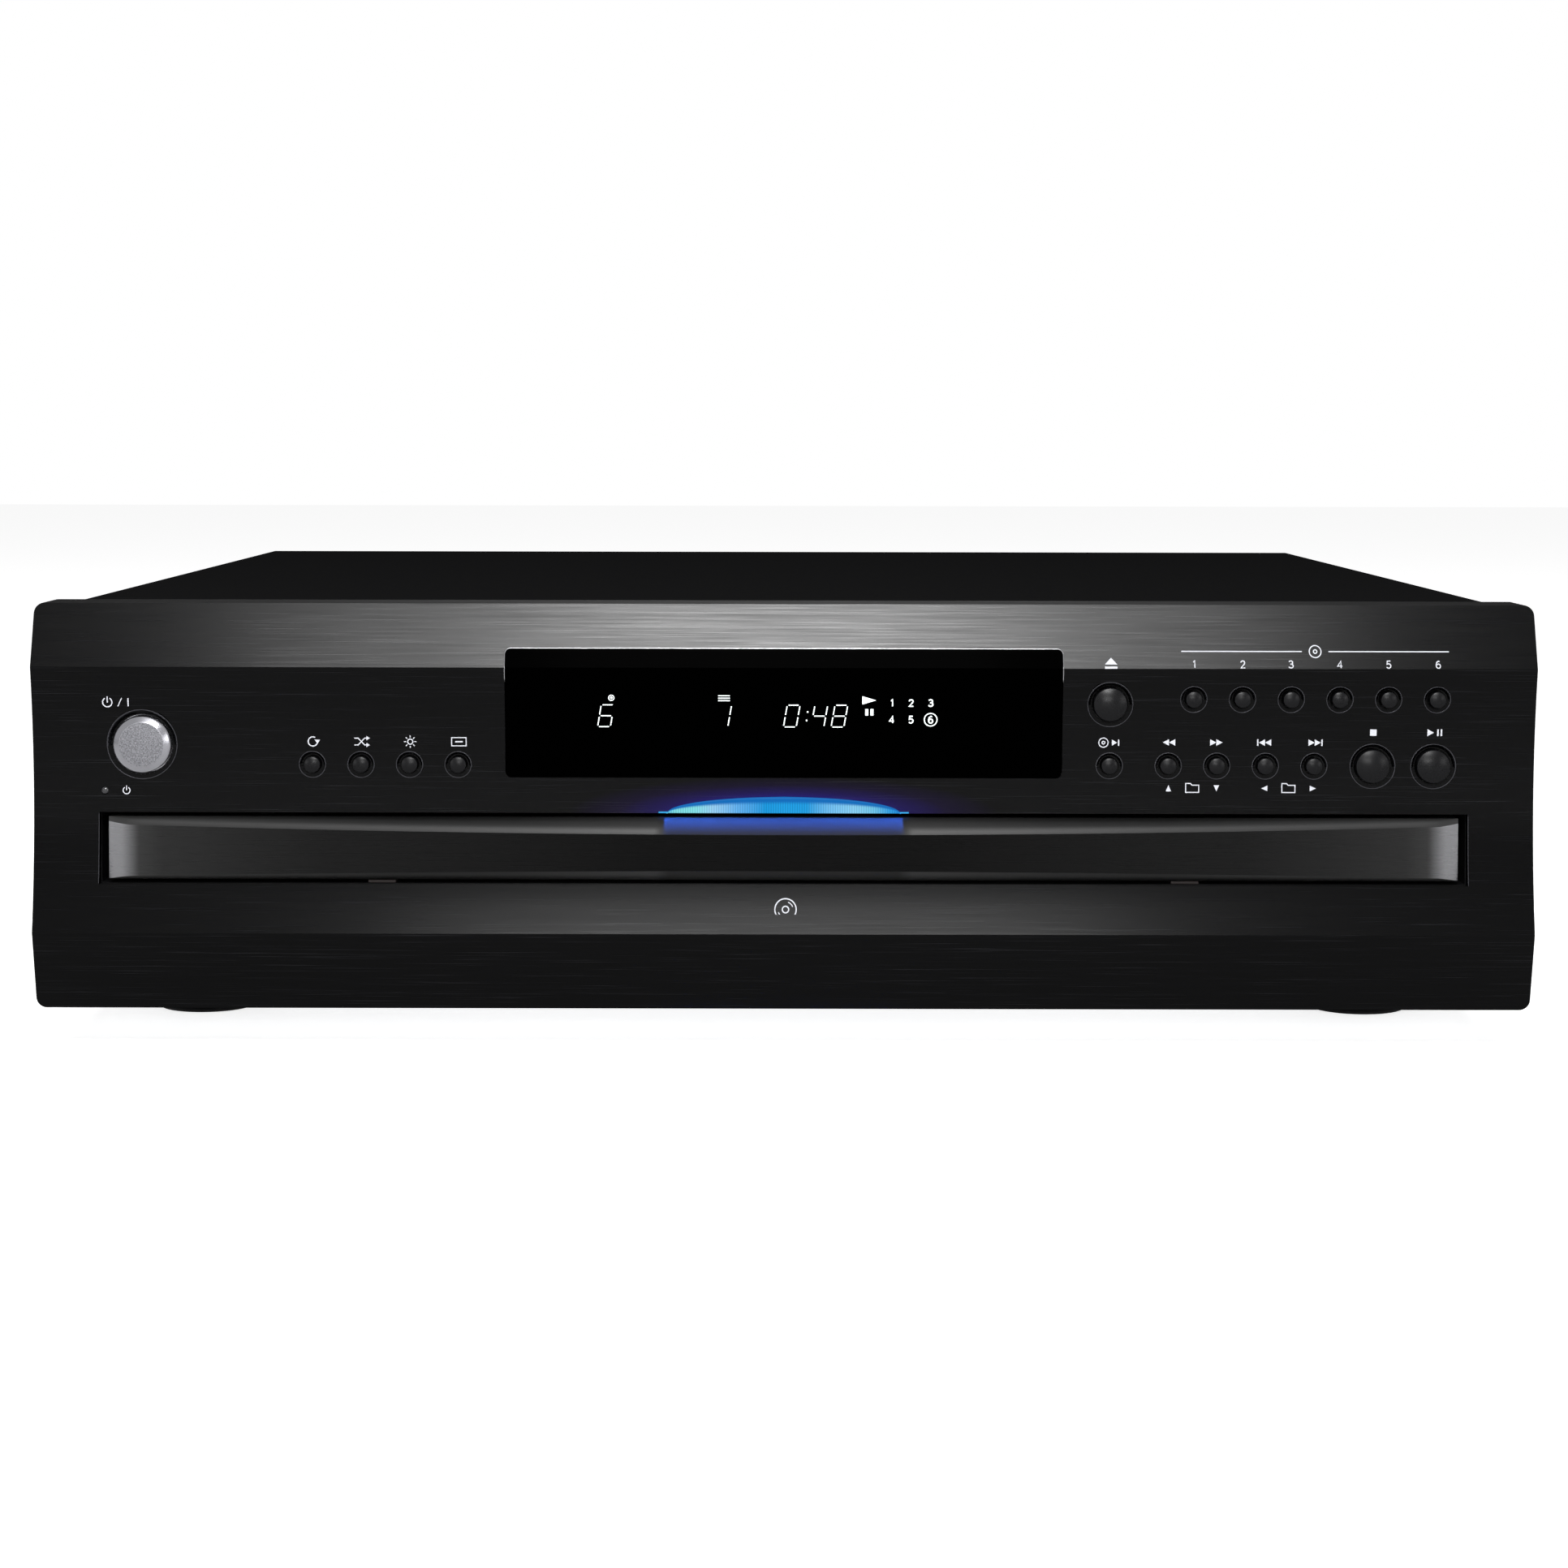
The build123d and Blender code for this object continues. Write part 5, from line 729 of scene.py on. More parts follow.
def countersink(node):
    """Lining of the countersink round a button: a narrow lip on the panel's face, y = panel(z) - lift,
    then a rounded edge and a cone down to the button's hole."""
    x, _, z = centre(node)
    diameter = button_size(node)
    hole = (diameter + HOLE_PLAY) / 2
    rim = hole + (2.4 * MM + 0.06 * diameter - HOLE_PLAY) / 2
    deep = float(panel_y(z)) + rim - hole
    radius = np.array([rim + 0.3 * MM, rim + 0.22 * MM, rim + 0.05 * MM, rim - 0.12 * MM, rim - 0.3 * MM])
    drop = np.array([0.05, -0.03, -0.05, 0.06, 0.28]) * MM
    angle = full_turn(72)
    along_z = z + radius * np.sin(angle)
    lip = np.stack([x + radius * np.cos(angle), panel_y(along_z) + drop, along_z], axis=-1)
    cone_r = np.array([hole + 0.35 * MM, hole + 0.02 * MM, hole + 0.02 * MM])
    cone_y = np.array([deep - 0.35 * MM, deep - 0.02 * MM, deep + 2.2 * MM])
    cone = np.stack([x + cone_r * np.cos(angle), cone_y + 0 * angle, z + cone_r * np.sin(angle)], axis=-1)
    mesh = grid_mesh(node + "_countersink", np.concatenate([lip, cone], axis=1), close_u=True)
    return walled(new_object(node + "_countersink", mesh, FINISH["sink"], "root"), 0.04 * MM)


for node in BUTTONS:
    button_cap(node)
    countersink(node)


# Tray front

def tray_front_skin():
    """The bowed bar: for each x the section is a loop whose face stands at the bow's y, up to the crease
    z = middle +- (narrow + slope (y - y0)), a little higher above. From there a curve
    (1-t)^2 slot + 2 t (1-t) pull + t^2 crease bends back to the slot."""
    low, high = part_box("tray_front")
    half = high[0]
    face_y = low[1]
    middle = centre("tray_front")[2]
    tall = (high[2] - low[2]) / 2
    shoulder = half - BAR_END
    narrow = tall - BAR_REACH * BAR_SLOPE
    bow_r = (shoulder**2 + BAR_BULGE**2) / (2 * BAR_BULGE)
    inner = np.linspace(-shoulder, shoulder, 90)
    left = np.linspace(-half, -shoulder, 14)[:-1]
    x = np.concatenate([left, inner, -left[::-1]])
    bow = bow_r - np.sqrt(bow_r**2 - np.minimum(np.abs(x), shoulder) ** 2)
    swept = np.clip((np.abs(x) - shoulder) / BAR_END, 0, 1)
    y = face_y + bow + BAR_SWEEP * swept**1.25
    edge = np.minimum(narrow + (y - face_y) * BAR_SLOPE, tall - 0.3 * MM)
    halves = []
    for lift, top in ((BAR_LIFT, tall + BAR_RISE), (0.0, tall)):
        slot_corner = np.stack([np.full_like(x, face_y + BAR_REACH), np.full_like(x, top)], axis=1)
        crease = np.stack([y, edge + lift], axis=1)
        pull = np.stack([y + 0.265 * (face_y + BAR_REACH - y), np.full_like(x, top - 0.04 * MM)], axis=1)
        slope = curved(slot_corner, pull, crease, 18)
        back = np.stack([np.full_like(x, high[1]), np.full_like(x, top)], axis=1)[:, None]
        halves.append(np.concatenate([back, slope, (crease - (0, 0.25 * MM))[:, None]], axis=1))
    section = np.concatenate([halves[0], halves[1][:, ::-1] * (1, -1)], axis=1)
    across = np.repeat(x[:, None], section.shape[1], axis=1)
    points = np.stack([across, section[..., 0], middle + section[..., 1]], axis=-1)
    mesh = grid_mesh("tray_front_bar", points, close_v=True, caps=True)
    mesh.set_sharp_from_angle(angle=radians(14))
    return new_object("tray_front_bar", mesh, FINISH["bar"], "drawer", "tray_front")


tray_front_skin()


# Light guide

def light_lens():
    """The lit arch: a grid whose height runs from the slot's edge to a flat ellipse,
    z = SLOT_TOP + h sqrt(1 - (x / half)^2), rippled by ribs, y = panel(z) - rib |cos(pi x / pitch)|."""
    x = np.linspace(-ARCH_HALF, ARCH_HALF, 589)[:, None]
    share = np.linspace(0, 1, 9)[None, :]
    height = ARCH_HEIGHT * np.sqrt(1 - (x / ARCH_HALF) ** 2)
    z = SLOT_TOP + 0.02 * MM + np.maximum(height, 0.45 * MM) * share
    fade = np.clip((0.72 - share) / 0.1, 0, 1)
    y = panel_y(z) - 0.06 * MM - 0.1 * MM * np.abs(np.cos(pi * x / RIB_PITCH)) * fade
    points = np.stack([x + 0 * share, y, z], axis=-1)
    mesh = grid_mesh("light_arch", points)
    return walled(new_object("light_arch", mesh, FINISH["light"], "root", "light_bar"), 1.5 * MM)


light_lens()


# Printed and lit marks

MARK_FRONT = 0.03 * MM
MARK_BACK = -0.05 * MM


def unit(vectors):
    """Rows of flat vectors, each brought to length 1."""
    return vectors / np.linalg.norm(vectors, axis=1, keepdims=True)


def ribbon(path, width, closed=False):
    """Left and right edges of a stroke: each point of the path moved by half the width along the mean
    normal of its two neighbours."""
    path = np.array(path, dtype=float)
    ahead = np.roll(path, -1, axis=0) - path
    behind = path - np.roll(path, 1, axis=0)
    if not closed:
        ahead[-1] = behind[-1]
        behind[0] = ahead[0]
    ahead = unit(ahead)
    mean = ahead + unit(behind)
    mean /= np.maximum(np.linalg.norm(mean, axis=1, keepdims=True), 0.3)
    normal = np.stack([-mean[:, 1], mean[:, 0]], axis=1)
    stretch = 1 / np.maximum(np.sum(mean * ahead, axis=1, keepdims=True), 0.6)
    offset = normal * stretch * width / 2
    return path + offset, path - offset


def arc(x, z, radius, start, end, steps=28):
    """Points (x + r cos t, z + r sin t) from one angle to another, in degrees."""
    angle = np.radians(np.linspace(start, end, steps))
    return np.stack([x + radius * np.cos(angle), z + radius * np.sin(angle)], axis=1)


def marks(name, strokes, fills, material, surface, body="root"):
    """Thin raised marks on a surface: strokes are (path, width, closed), fills are outlines, in
    millimetres. surface gives the 3-D place of flat points (x, z) at a lift; every mark has a front
    at +0.03 mm, a back at -0.05 mm and walls between them."""
    verts = []
    faces = []
    count = 0
    for path, width, closed in strokes:
        left, right = ribbon(path, width, closed)
        number = len(left)
        front = np.concatenate([left, right])
        verts += [surface(front * MM, MARK_FRONT), surface(front * MM, MARK_BACK)]
        for step in range(number if closed else number - 1):
            after = (step + 1) % number
            a, b, c, d = step, after, number + after, number + step
            back = 2 * number
            faces += [(count + a, count + b, count + c, count + d),
                      (count + back + d, count + back + c, count + back + b, count + back + a),
                      (count + a, count + back + a, count + back + b, count + b),
                      (count + d, count + c, count + back + c, count + back + d)]
        if not closed:
            for end in (count, count + number - 1):
                faces.append((end, end + number, end + 3 * number, end + 2 * number))
        count += 4 * number
    for fill in fills:
        outline = np.array(fill, dtype=float)
        number = len(outline)
        verts += [surface(outline * MM, MARK_FRONT), surface(outline * MM, MARK_BACK)]
        faces.append(tuple(range(count, count + number)))
        faces.append(tuple(range(count + 2 * number - 1, count + number - 1, -1)))
        for step in range(number):
            after = (step + 1) % number
            faces.append((count + step, count + number + step, count + number + after, count + after))
        count += 2 * number
    mesh = plain_mesh(name, np.concatenate(verts), faces)
    tidy(mesh, smooth=False)
    return new_object(name, mesh, material, body)


def on_panel(points, lift):
    """Flat points (x, z) on the panel's face."""
    return np.stack([points[:, 0], panel_y(points[:, 1]) - lift, points[:, 1]], axis=1)


def on_window(points, lift):
    """Flat points (x, z) on the window's face."""
    return on_panel(points, lift - WINDOW_RECESS)


DIGITS = {
    1: [[(0.25, 0.78), (0.46, 1), (0.46, 0)]],
    2: [[(0.05, 0.76), (0.14, 0.92), (0.35, 1), (0.56, 0.92), (0.63, 0.74), (0.55, 0.54), (0.06, 0),
         (0.68, 0)]],
    3: [[(0.05, 0.88), (0.2, 0.98), (0.4, 1), (0.58, 0.88), (0.58, 0.66), (0.42, 0.54), (0.24, 0.53)],
        [(0.42, 0.54), (0.62, 0.43), (0.66, 0.22), (0.52, 0.05), (0.3, 0), (0.12, 0.05), (0.02, 0.17)]],
    4: [[(0.5, 0), (0.5, 1), (0.02, 0.28), (0.68, 0.28)]],
    5: [[(0.6, 1), (0.15, 1), (0.1, 0.55), (0.3, 0.63), (0.5, 0.58), (0.64, 0.4), (0.6, 0.15), (0.4, 0),
         (0.2, 0.02), (0.03, 0.14)]],
    6: [[(0.56, 0.94), (0.36, 1), (0.12, 0.8), (0.03, 0.45), (0.06, 0.2), (0.2, 0.03), (0.38, 0),
         (0.58, 0.08), (0.66, 0.3), (0.56, 0.52), (0.36, 0.6), (0.16, 0.52), (0.05, 0.36)]],
}


def numeral(digit, x, z, height, width):
    """Strokes of a plain numeral whose middle is at (x, z)."""
    corner = (x - 0.34 * height, z - height / 2)
    return [(np.array(path) * height + corner, width, False) for path in DIGITS[digit]]


def triangle(x, z, length, height, way):
    """A filled triangle that points along +X or -X by way."""
    back = x - way * length / 2
    return [(back, z - height / 2), (x + way * length / 2, z), (back, z + height / 2)]


def bar(x, z, width, height):
    """A filled upright bar."""
    return [(x - width / 2, z - height / 2), (x + width / 2, z - height / 2), (x + width / 2, z + height / 2),
            (x - width / 2, z + height / 2)]


def disc_sign(x, z, radius, width):
    """Strokes of a disc seen flat: a rim and a centre hole."""
    return [(arc(x, z, radius, 0, 348, 30), width, True), (arc(x, z, radius * 0.3, 0, 340, 18), width, True)]


def power_sign(x, z, radius, low, high, width, steps):
    """Strokes of a broken ring with an upright line in its gap, from low to high."""
    return [(arc(x, z, radius, 120, 420, steps), width, False), ([(x, low), (x, high)], width, False)]


def printed_labels():
    """Signs and numerals beside the controls, in grey print."""
    strokes = []
    fills = []
    for start, end in ((114.8, 149.6), (157.3, 192.1)):
        strokes.append(([(start, 117.75), (end, 117.75)], 0.3, False))
    strokes += disc_sign(153.45, 117.75, 1.7, 0.3)
    for digit, x in enumerate((118.3, 132.4, 146.3, 160.4, 174.5, 188.8), 1):
        strokes += numeral(digit, x, 114.1, 2.0, 0.3)
    for x, way, stop in ((111.6, -1, False), (125.3, 1, False), (139.4, -1, True), (153.8, 1, True)):
        for shift in (-0.9, 0.9):
            fills.append(triangle(x + shift, 91.2, 1.8, 1.9, way))
        if stop:
            fills.append(bar(x + way * 2.1, 91.2, 0.4, 1.9))
    for x, turn in ((111.6, 1), (125.5, -1)):
        fills.append([(x - 0.8, 77.8 - turn * 0.9), (x + 0.8, 77.8 - turn * 0.9), (x, 77.8 + turn * 0.9)])
    fills += [triangle(139.4, 77.8, 1.8, 1.6, -1), triangle(153.5, 77.8, 1.8, 1.6, 1)]
    for x in (118.5, 146.4):
        folder = [(x - 1.9, 76.6), (x + 1.9, 76.6), (x + 1.9, 78.7), (x - 0.1, 78.7), (x - 0.5, 79.2),
                  (x - 1.9, 79.2)]
        strokes.append((folder, 0.28, True))
    strokes.append((arc(-136.4, 91.0, 1.35, 60, 360, 24), 0.32, False))
    fills.append([(-135.9, 91.6), (-134.3, 91.5), (-135.1, 90.3)])
    for turn in (1, -1):
        start = 91.0 - turn * 1.0
        end = 91.0 + turn * 1.0
        strokes.append(([(-124.4, start), (-123.3, start), (-121.4, end), (-120.8, end)], 0.3, False))
        fills.append(triangle(-120.4, end, 1.0, 1.3, 1))
    strokes.append((arc(-108.2, 91.0, 0.75, 0, 340, 20), 0.3, True))
    for angle in range(0, 360, 45):
        ray = arc(-108.2, 91.0, np.array((1.2, 1.8)), angle, angle, 2)
        strokes.append((ray, 0.26, False))
    screen = np.array([(-2.1, -1.2), (2.1, -1.2), (2.1, 1.2), (-2.1, 1.2)]) + (-94.1, 91.0)
    strokes.append((screen, 0.28, True))
    strokes.append(([(-95.2, 91.0), (-93.0, 91.0)], 0.4, False))
    strokes += power_sign(-195.6, 102.4, 1.35, 102.3, 104.1, 0.34, 26)
    strokes.append(([(-192.6, 101.2), (-191.4, 103.7)], 0.26, False))
    strokes.append(([(-189.6, 101.2), (-189.6, 103.6)], 0.34, False))
    strokes += power_sign(-190.6, 76.6, 1.0, 76.6, 78.0, 0.28, 22)
    fills += [[(92.6, 114.0), (96.2, 114.0), (94.4, 115.9)], bar(94.4, 113.1, 3.6, 0.6)]
    strokes += disc_sign(92.6, 91.1, 1.35, 0.28)
    fills += [triangle(95.8, 91.1, 1.5, 1.8, 1), bar(97.0, 91.1, 0.35, 1.8)]
    fills.append(bar(170.7, 94.2, 1.9, 1.9))
    fills += [triangle(187.3, 94.2, 1.9, 2.1, 1), bar(189.4, 94.2, 0.45, 2.0), bar(190.4, 94.2, 0.45, 2.0)]
    strokes += disc_sign(0.6, 42.6, 3.1, 0.34)
    for start in (20, 200):
        strokes.append((arc(0.6, 42.6, 2.2, start, start + 50, 8), 0.26, False))
    return marks("printed_labels", strokes, fills, FINISH["print"], on_panel)


SEGMENTS = {"a": ((0, 1), (1, 1)), "b": ((1, 1), (1, 0.5)), "c": ((1, 0.5), (1, 0)), "d": ((0, 0), (1, 0)),
            "e": ((0, 0.5), (0, 0)), "f": ((0, 1), (0, 0.5)), "g": ((0, 0.5), (1, 0.5))}
LIT = {"6": "acdefg", "1": "bc", "0": "abcdef", "4": "bcfg", "8": "abcdefg"}
FIGURE_LEAN = 0.17


def lit_figure(figure, x, z, width, height):
    """A seven-segment figure in slanted rows of dots: the dot at share t of a segment from a to b is
    a + t (b - a), leaned by FIGURE_LEAN of its height."""
    dots = []
    for segment in LIT[figure]:
        start, end = np.array(SEGMENTS[segment], dtype=float)
        level = start[1] == end[1]
        number = (2 if segment == "g" else 5) if level else 4
        share = 0.1 + 0.8 * ((np.arange(number) + 0.5) / number)
        long_side = (0.75 if segment == "g" else 0.27) if level else 0.17
        for place in start + (end - start) * share[:, None]:
            middle = place * (width, height)
            half = (long_side, 0.15) if level else (0.16, 0.28)
            corners = middle + np.array([(-1, -1), (1, -1), (1, 1), (-1, 1)]) * half
            corners[:, 0] += FIGURE_LEAN * corners[:, 1]
            dots.append(corners + (x, z))
    return dots


def display_figures():
    """The lit display: disc, track, time, and the small row of disc numbers."""
    low = 95.5
    dots = []
    for figure, x in (("6", -53.9), ("1", -19.9), ("0", -0.1), ("4", 7.9), ("8", 13.7)):
        dots += lit_figure(figure, x, low, 3.7, 6.4)
    dots += [bar(6.6, 97.4, 0.4, 0.45), bar(6.9, 99.9, 0.4, 0.45)]
    dots += [triangle(24.7, 103.35, 4.0, 2.4, 1), bar(24.0, 99.85, 0.85, 1.9), bar(25.5, 99.85, 0.85, 1.9)]
    strokes = disc_sign(-49.9, 103.95, 0.78, 0.24)
    for shift in (-1.2, 0, 1.2):
        strokes.append(([(-19.0, 103.9 + shift * 0.6), (-15.6, 103.9 + shift * 0.6)], 0.28, False))
    for digit in range(1, 7):
        place = (31.2, 36.8, 42.5)[(digit - 1) % 3]
        strokes += numeral(digit, place, 102.6 if digit < 4 else 97.7, 1.95, 0.36)
    strokes.append((arc(42.5, 97.7, 1.85, 0, 350, 36), 0.3, True))
    return marks("display_figures", strokes, dots, FINISH["lit"], on_window)


printed_labels()
display_figures()


# Edges that catch the light

SIDES = {-1: "left", 1: "right"}


def bead(name, path, radius, material, depth=0.0, sides=8):
    """A thin round bead along an open path (x, z) on the panel's face: around each point
    y = panel(z) + depth - r cos t, and the path moves sideways by r sin t. Its ends taper to nothing."""
    path = np.array(path) * MM
    ahead = unit(np.gradient(path, axis=0))
    sideways = np.stack([ahead[:, 1], -ahead[:, 0]], axis=1)
    angle = np.linspace(0, 2 * pi, sides, endpoint=False)
    reach = np.full(len(path), radius)
    reach[[0, -1]] = radius * 0.05
    flat = path[:, None] + sideways[:, None] * np.sin(angle)[None, :, None] * reach[:, None, None]
    y = panel_y(path[:, 1])[:, None] + depth - reach[:, None] * np.cos(angle)[None, :]
    points = np.stack([flat[..., 0], y, flat[..., 1]], axis=-1)
    return new_object(name, grid_mesh(name, points, close_v=True, caps=True), material, "root")


def straight(start, end, steps):
    """Points along a straight line."""
    return np.array(start) + (np.array(end) - np.array(start)) * np.linspace(0, 1, steps)[:, None]


def bright_edges():
    """The machined edges that catch the light: over the window down to the crease, and the slot's ends."""
    half = WINDOW_HALF / MM
    top = WINDOW_TOP / MM
    crease = UPPER_CREASE / MM
    corner = 1.7
    over = np.concatenate([straight((-half, crease - 4.0), (-half, top - corner), 10),
                           arc(-half + corner, top - corner, corner, 180, 90, 8)[1:],
                           straight((-half + corner, top), (half - corner, top), 60)[1:],
                           arc(half - corner, top - corner, corner, 90, 0, 8)[1:],
                           straight((half, top - corner), (half, crease - 4.0), 10)[1:]])
    bead("window_edge", over, 0.13 * MM, FINISH["rim"], 0.04 * MM)
    for side in (-1, 1):
        x = side * SLOT_HALF / MM
        path = straight((x, SLOT_BOTTOM / MM), (x, SLOT_TOP / MM), 30)
        bead("slot_edge_" + SIDES[side], path, 0.14 * MM, FINISH["sink"], 0.03 * MM)


bright_edges()


# Light in the slot, and slip pads

def soft_block(name, low, high, radius, material, body):
    """A block with rounded edges: 8 corners, rounded by a Bevel."""
    low = np.array(low) * MM
    high = np.array(high) * MM
    corners = np.array([(x, y, z) for x in (0, 1) for y in (0, 1) for z in (0, 1)])
    faces = [(0, 1, 3, 2), (4, 6, 7, 5), (0, 4, 5, 1), (2, 3, 7, 6), (0, 2, 6, 4), (1, 5, 7, 3)]
    mesh = plain_mesh(name, low + corners * (high - low), faces)
    tidy(mesh)
    obj = new_object(name, mesh, material, body)
    round_edges = obj.modifiers.new("rounded edges", "BEVEL")
    round_edges.width = radius * MM
    round_edges.segments = 3
    round_edges.harden_normals = True
    return obj


def slot_light():
    """Underside of the light guide in the slot's ceiling, and its thin lit front edge."""
    top = SLOT_TOP / MM
    front = float(panel_y(SLOT_TOP)) / MM
    soft_block("light_ceiling", (-36.2, front + 0.4, top + 0.02), (36.2, front + 4.6, top + 0.3), 0.02,
               FINISH["blue_ceiling"], "root")
    path = [(x, top + 0.2) for x in np.linspace(-36.3, 36.3, 60)]
    marks("light_edge", [(path, 0.4, False)], [], FINISH["blue_edge"], on_panel)


slot_light()
for side in (-1, 1):
    soft_block("slip_pad_" + SIDES[side], (side * 117 - 4.05, FRONT / MM + 7.3, SLOT_BOTTOM / MM - 0.1),
               (side * 117 + 4.05, FRONT / MM + 25.9, SLOT_BOTTOM / MM + 0.85), 0.2, FINISH["pad"], "root")


# Small pieces: lamp lens, laser lens, jack collars, screws, winding, numerals in the drawer

def dome(name, place, radius, rise, material, body, upright=False):
    """A shallow dome towards the front, or upwards: at share s of the radius its height is
    rise (1 - s^2), with a short skirt."""
    x, y, z = place
    out, base, second = (1, z, y) if upright else (-1, y, z)
    share = np.linspace(0, 1, 10)
    profile = np.stack([share * radius, base + out * rise * (1 - share**2)], axis=1)
    skirt = base - out * 0.4 * MM
    profile = np.vstack([profile, [(radius, skirt), (0, skirt)]])
    return new_object(name, revolved(name, profile, x, second, 40, upright), material, body)


lamp_z = 76.6 * MM
lamp_place = (-196.9 * MM, float(panel_y(lamp_z)) + 0.15 * MM, lamp_z)
dome("standby_lamp_lens", lamp_place, 1.0 * MM, 0.35 * MM, FINISH["smoke"], "root")
laser_place = (0, centre("laser_sled")[1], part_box("laser_sled")[1][2] - 0.5 * MM)
dome("laser_lens", laser_place, 2.0 * MM, 0.45 * MM, FINISH["lens"], "laser_sled", upright=True)


def jack_collars():
    """Coloured collar at the root of each phono socket, a ring with a rounded front edge."""
    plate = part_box("rear_panel")[1][1] / MM + 2.1
    for name, finish, x, z in (("right_collar", "red", 172.2, 32.0), ("left_collar", "white", 172.2, 46.0),
                               ("coaxial_collar", "orange", 142.2, 32.0)):
        ring = [(4.1, plate - 0.3), (6.2, plate - 0.3), (6.2, plate + 1.2), (5.9, plate + 1.7),
                (4.5, plate + 1.7), (4.1, plate + 1.4), (4.1, plate - 0.3)]
        profile = np.array(ring) * MM
        new_object(name, revolved(name, profile, x * MM, z * MM, 48), FINISH[finish], "root")


jack_collars()


SCREW_R = 3.4
SCREW_RISE = 1.7
SCREWS = [(x, 204.8, 122.4, "rear", 6.5) for x in (-170.88, 0.0, 170.88)]
SCREWS += [(x, 203.5, 21.0, "rear", 4.6) for x in (-192.24, -64.08, 42.72, 192.24)]
SCREWS += [(x, y, 21.0, way, 4.6) for x, way in ((-215.0, "left"), (215.0, "right")) for y in (-152.5, 153.5)]
SCREWS += [(x, y, 9.8, "under", 6.2) for x in (-181.0, 181.0) for y in (-134.5, 150.0)]
SCREW_WAYS = {"rear": ((1, 0, 0), (0, 0, -1), (0, 1, 0)), "left": ((0, 1, 0), (0, 0, -1), (-1, 0, 0)),
              "right": ((0, 1, 0), (0, 0, 1), (1, 0, 0)), "under": ((1, 0, 0), (0, 1, 0), (0, 0, -1))}


def screw_set():
    """Pan-head screws with a cross recess: over the head, at (u, v) from the middle, the height is
    SCREW_RISE (1 - 0.45 s^4) for s = r / SCREW_R, less the recess, which is deepest along u = 0 and v = 0."""
    share = np.concatenate([np.linspace(0, 0.62, 13), np.linspace(0.7, 1, 6)])
    angle = full_turn(64)
    u = SCREW_R * share * np.cos(angle)
    v = SCREW_R * share * np.sin(angle)
    narrow_side = np.minimum(np.abs(u), np.abs(v))
    long_side = np.maximum(np.abs(u), np.abs(v))
    inside = np.clip((0.42 - narrow_side) / 0.1, 0, 1) * np.clip((1.9 - long_side) / 0.25, 0, 1)
    rise = SCREW_RISE * (1 - 0.45 * share**4) - inside * (1.15 - 0.35 * long_side)
    pieces = []
    for x, y, z, way, length in SCREWS:
        across, up, out = (np.array(part, dtype=float) for part in SCREW_WAYS[way])
        skirt = np.array([(SCREW_R, 0.0), (1.5, 0.0), (1.5, -length), (0.0, -length)])
        flat_u = np.concatenate([u, skirt[:, 0] * np.cos(angle)], axis=1)
        flat_v = np.concatenate([v, skirt[:, 0] * np.sin(angle)], axis=1)
        height = np.concatenate([rise, np.broadcast_to(skirt[:, 1], (64, 4))], axis=1)
        flat = np.array((x, y, z)) + flat_u[..., None] * across + flat_v[..., None] * up
        pieces.append(flat + height[..., None] * out)
    index, quads = grid_quads(pieces[0], close_u=True)
    faces = np.concatenate([quads + number * index.size for number in range(len(pieces))])
    mesh = plain_mesh("screw_set", np.concatenate(pieces) * MM, faces.tolist())
    tidy(mesh, sharp=30)
    return new_object("screw_set", mesh, FINISH["dark_screw"], "root", "screws")


screw_set()


def winding():
    """Copper winding on the transformer's bobbin: a rounded rectangle around it, bulged as
    1 + 0.03 cos(pi v) and ribbed by turns of wire, 0.12 |sin(20 pi v)| mm."""
    x, y, z = centre("transformer")
    angle = full_turn(72)
    v = np.linspace(-0.5, 0.5, 61)[None, :]
    power = 0.45
    cosine = np.sign(np.cos(angle)) * np.abs(np.cos(angle)) ** power
    sine = np.sign(np.sin(angle)) * np.abs(np.sin(angle)) ** power
    swell = 1 + 0.03 * np.cos(pi * v)
    rib = 0.12 * MM * np.abs(np.sin(20 * pi * v))
    px = x + (19.2 * MM * swell + rib) * cosine
    py = y + (21.1 * MM * swell * 0.965 + rib) * sine
    pz = z + 0.6 * MM + 20 * MM * v
    points = np.stack([px, py, pz + 0 * px], axis=-1)
    mesh = grid_mesh("transformer_winding", points, close_u=True)
    work = bmesh.new()
    work.from_mesh(mesh)
    bmesh.ops.holes_fill(work, edges=work.edges)
    bmesh.ops.recalc_face_normals(work, faces=work.faces)
    work.to_mesh(mesh)
    work.free()
    return new_object("transformer_winding", mesh, FINISH["copper"], "root")


winding()


def on_height(z):
    """Flat points (x, y) on a level surface at height z."""
    return lambda points, lift: np.column_stack([points, np.full(len(points), z + lift)])


def well_numerals():
    """A moulded numeral on the carousel beside each well."""
    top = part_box("carousel")[1][2]
    strokes = []
    centre_y = centre("carousel")[1] / MM
    for number in range(6):
        turn = radians(120 + 60 * number)
        place = np.array((165.0 * cos(turn), centre_y + 165.0 * sin(turn)))
        along = np.array((-sin(turn), cos(turn)))
        outward = np.array((cos(turn), sin(turn)))
        for path in DIGITS[number + 1]:
            local = (np.array(path) - (0.34, 0.5)) * 9.0
            strokes.append((place - local[:, :1] * along + local[:, 1:] * outward, 1.3, False))
    return marks("well_numerals", strokes, [], FINISH["print"], on_height(top), "carousel")


well_numerals()


# Stage, light and camera

def stage_plane(name, size, z, material):
    """A square of the stage."""
    half = size / 2
    corners = [(-half, -half, z), (half, -half, z), (half, half, z), (-half, half, z)]
    mesh = plain_mesh(name, corners, [(0, 1, 2, 3)])
    mesh.materials.append(material)
    placed(name, mesh)


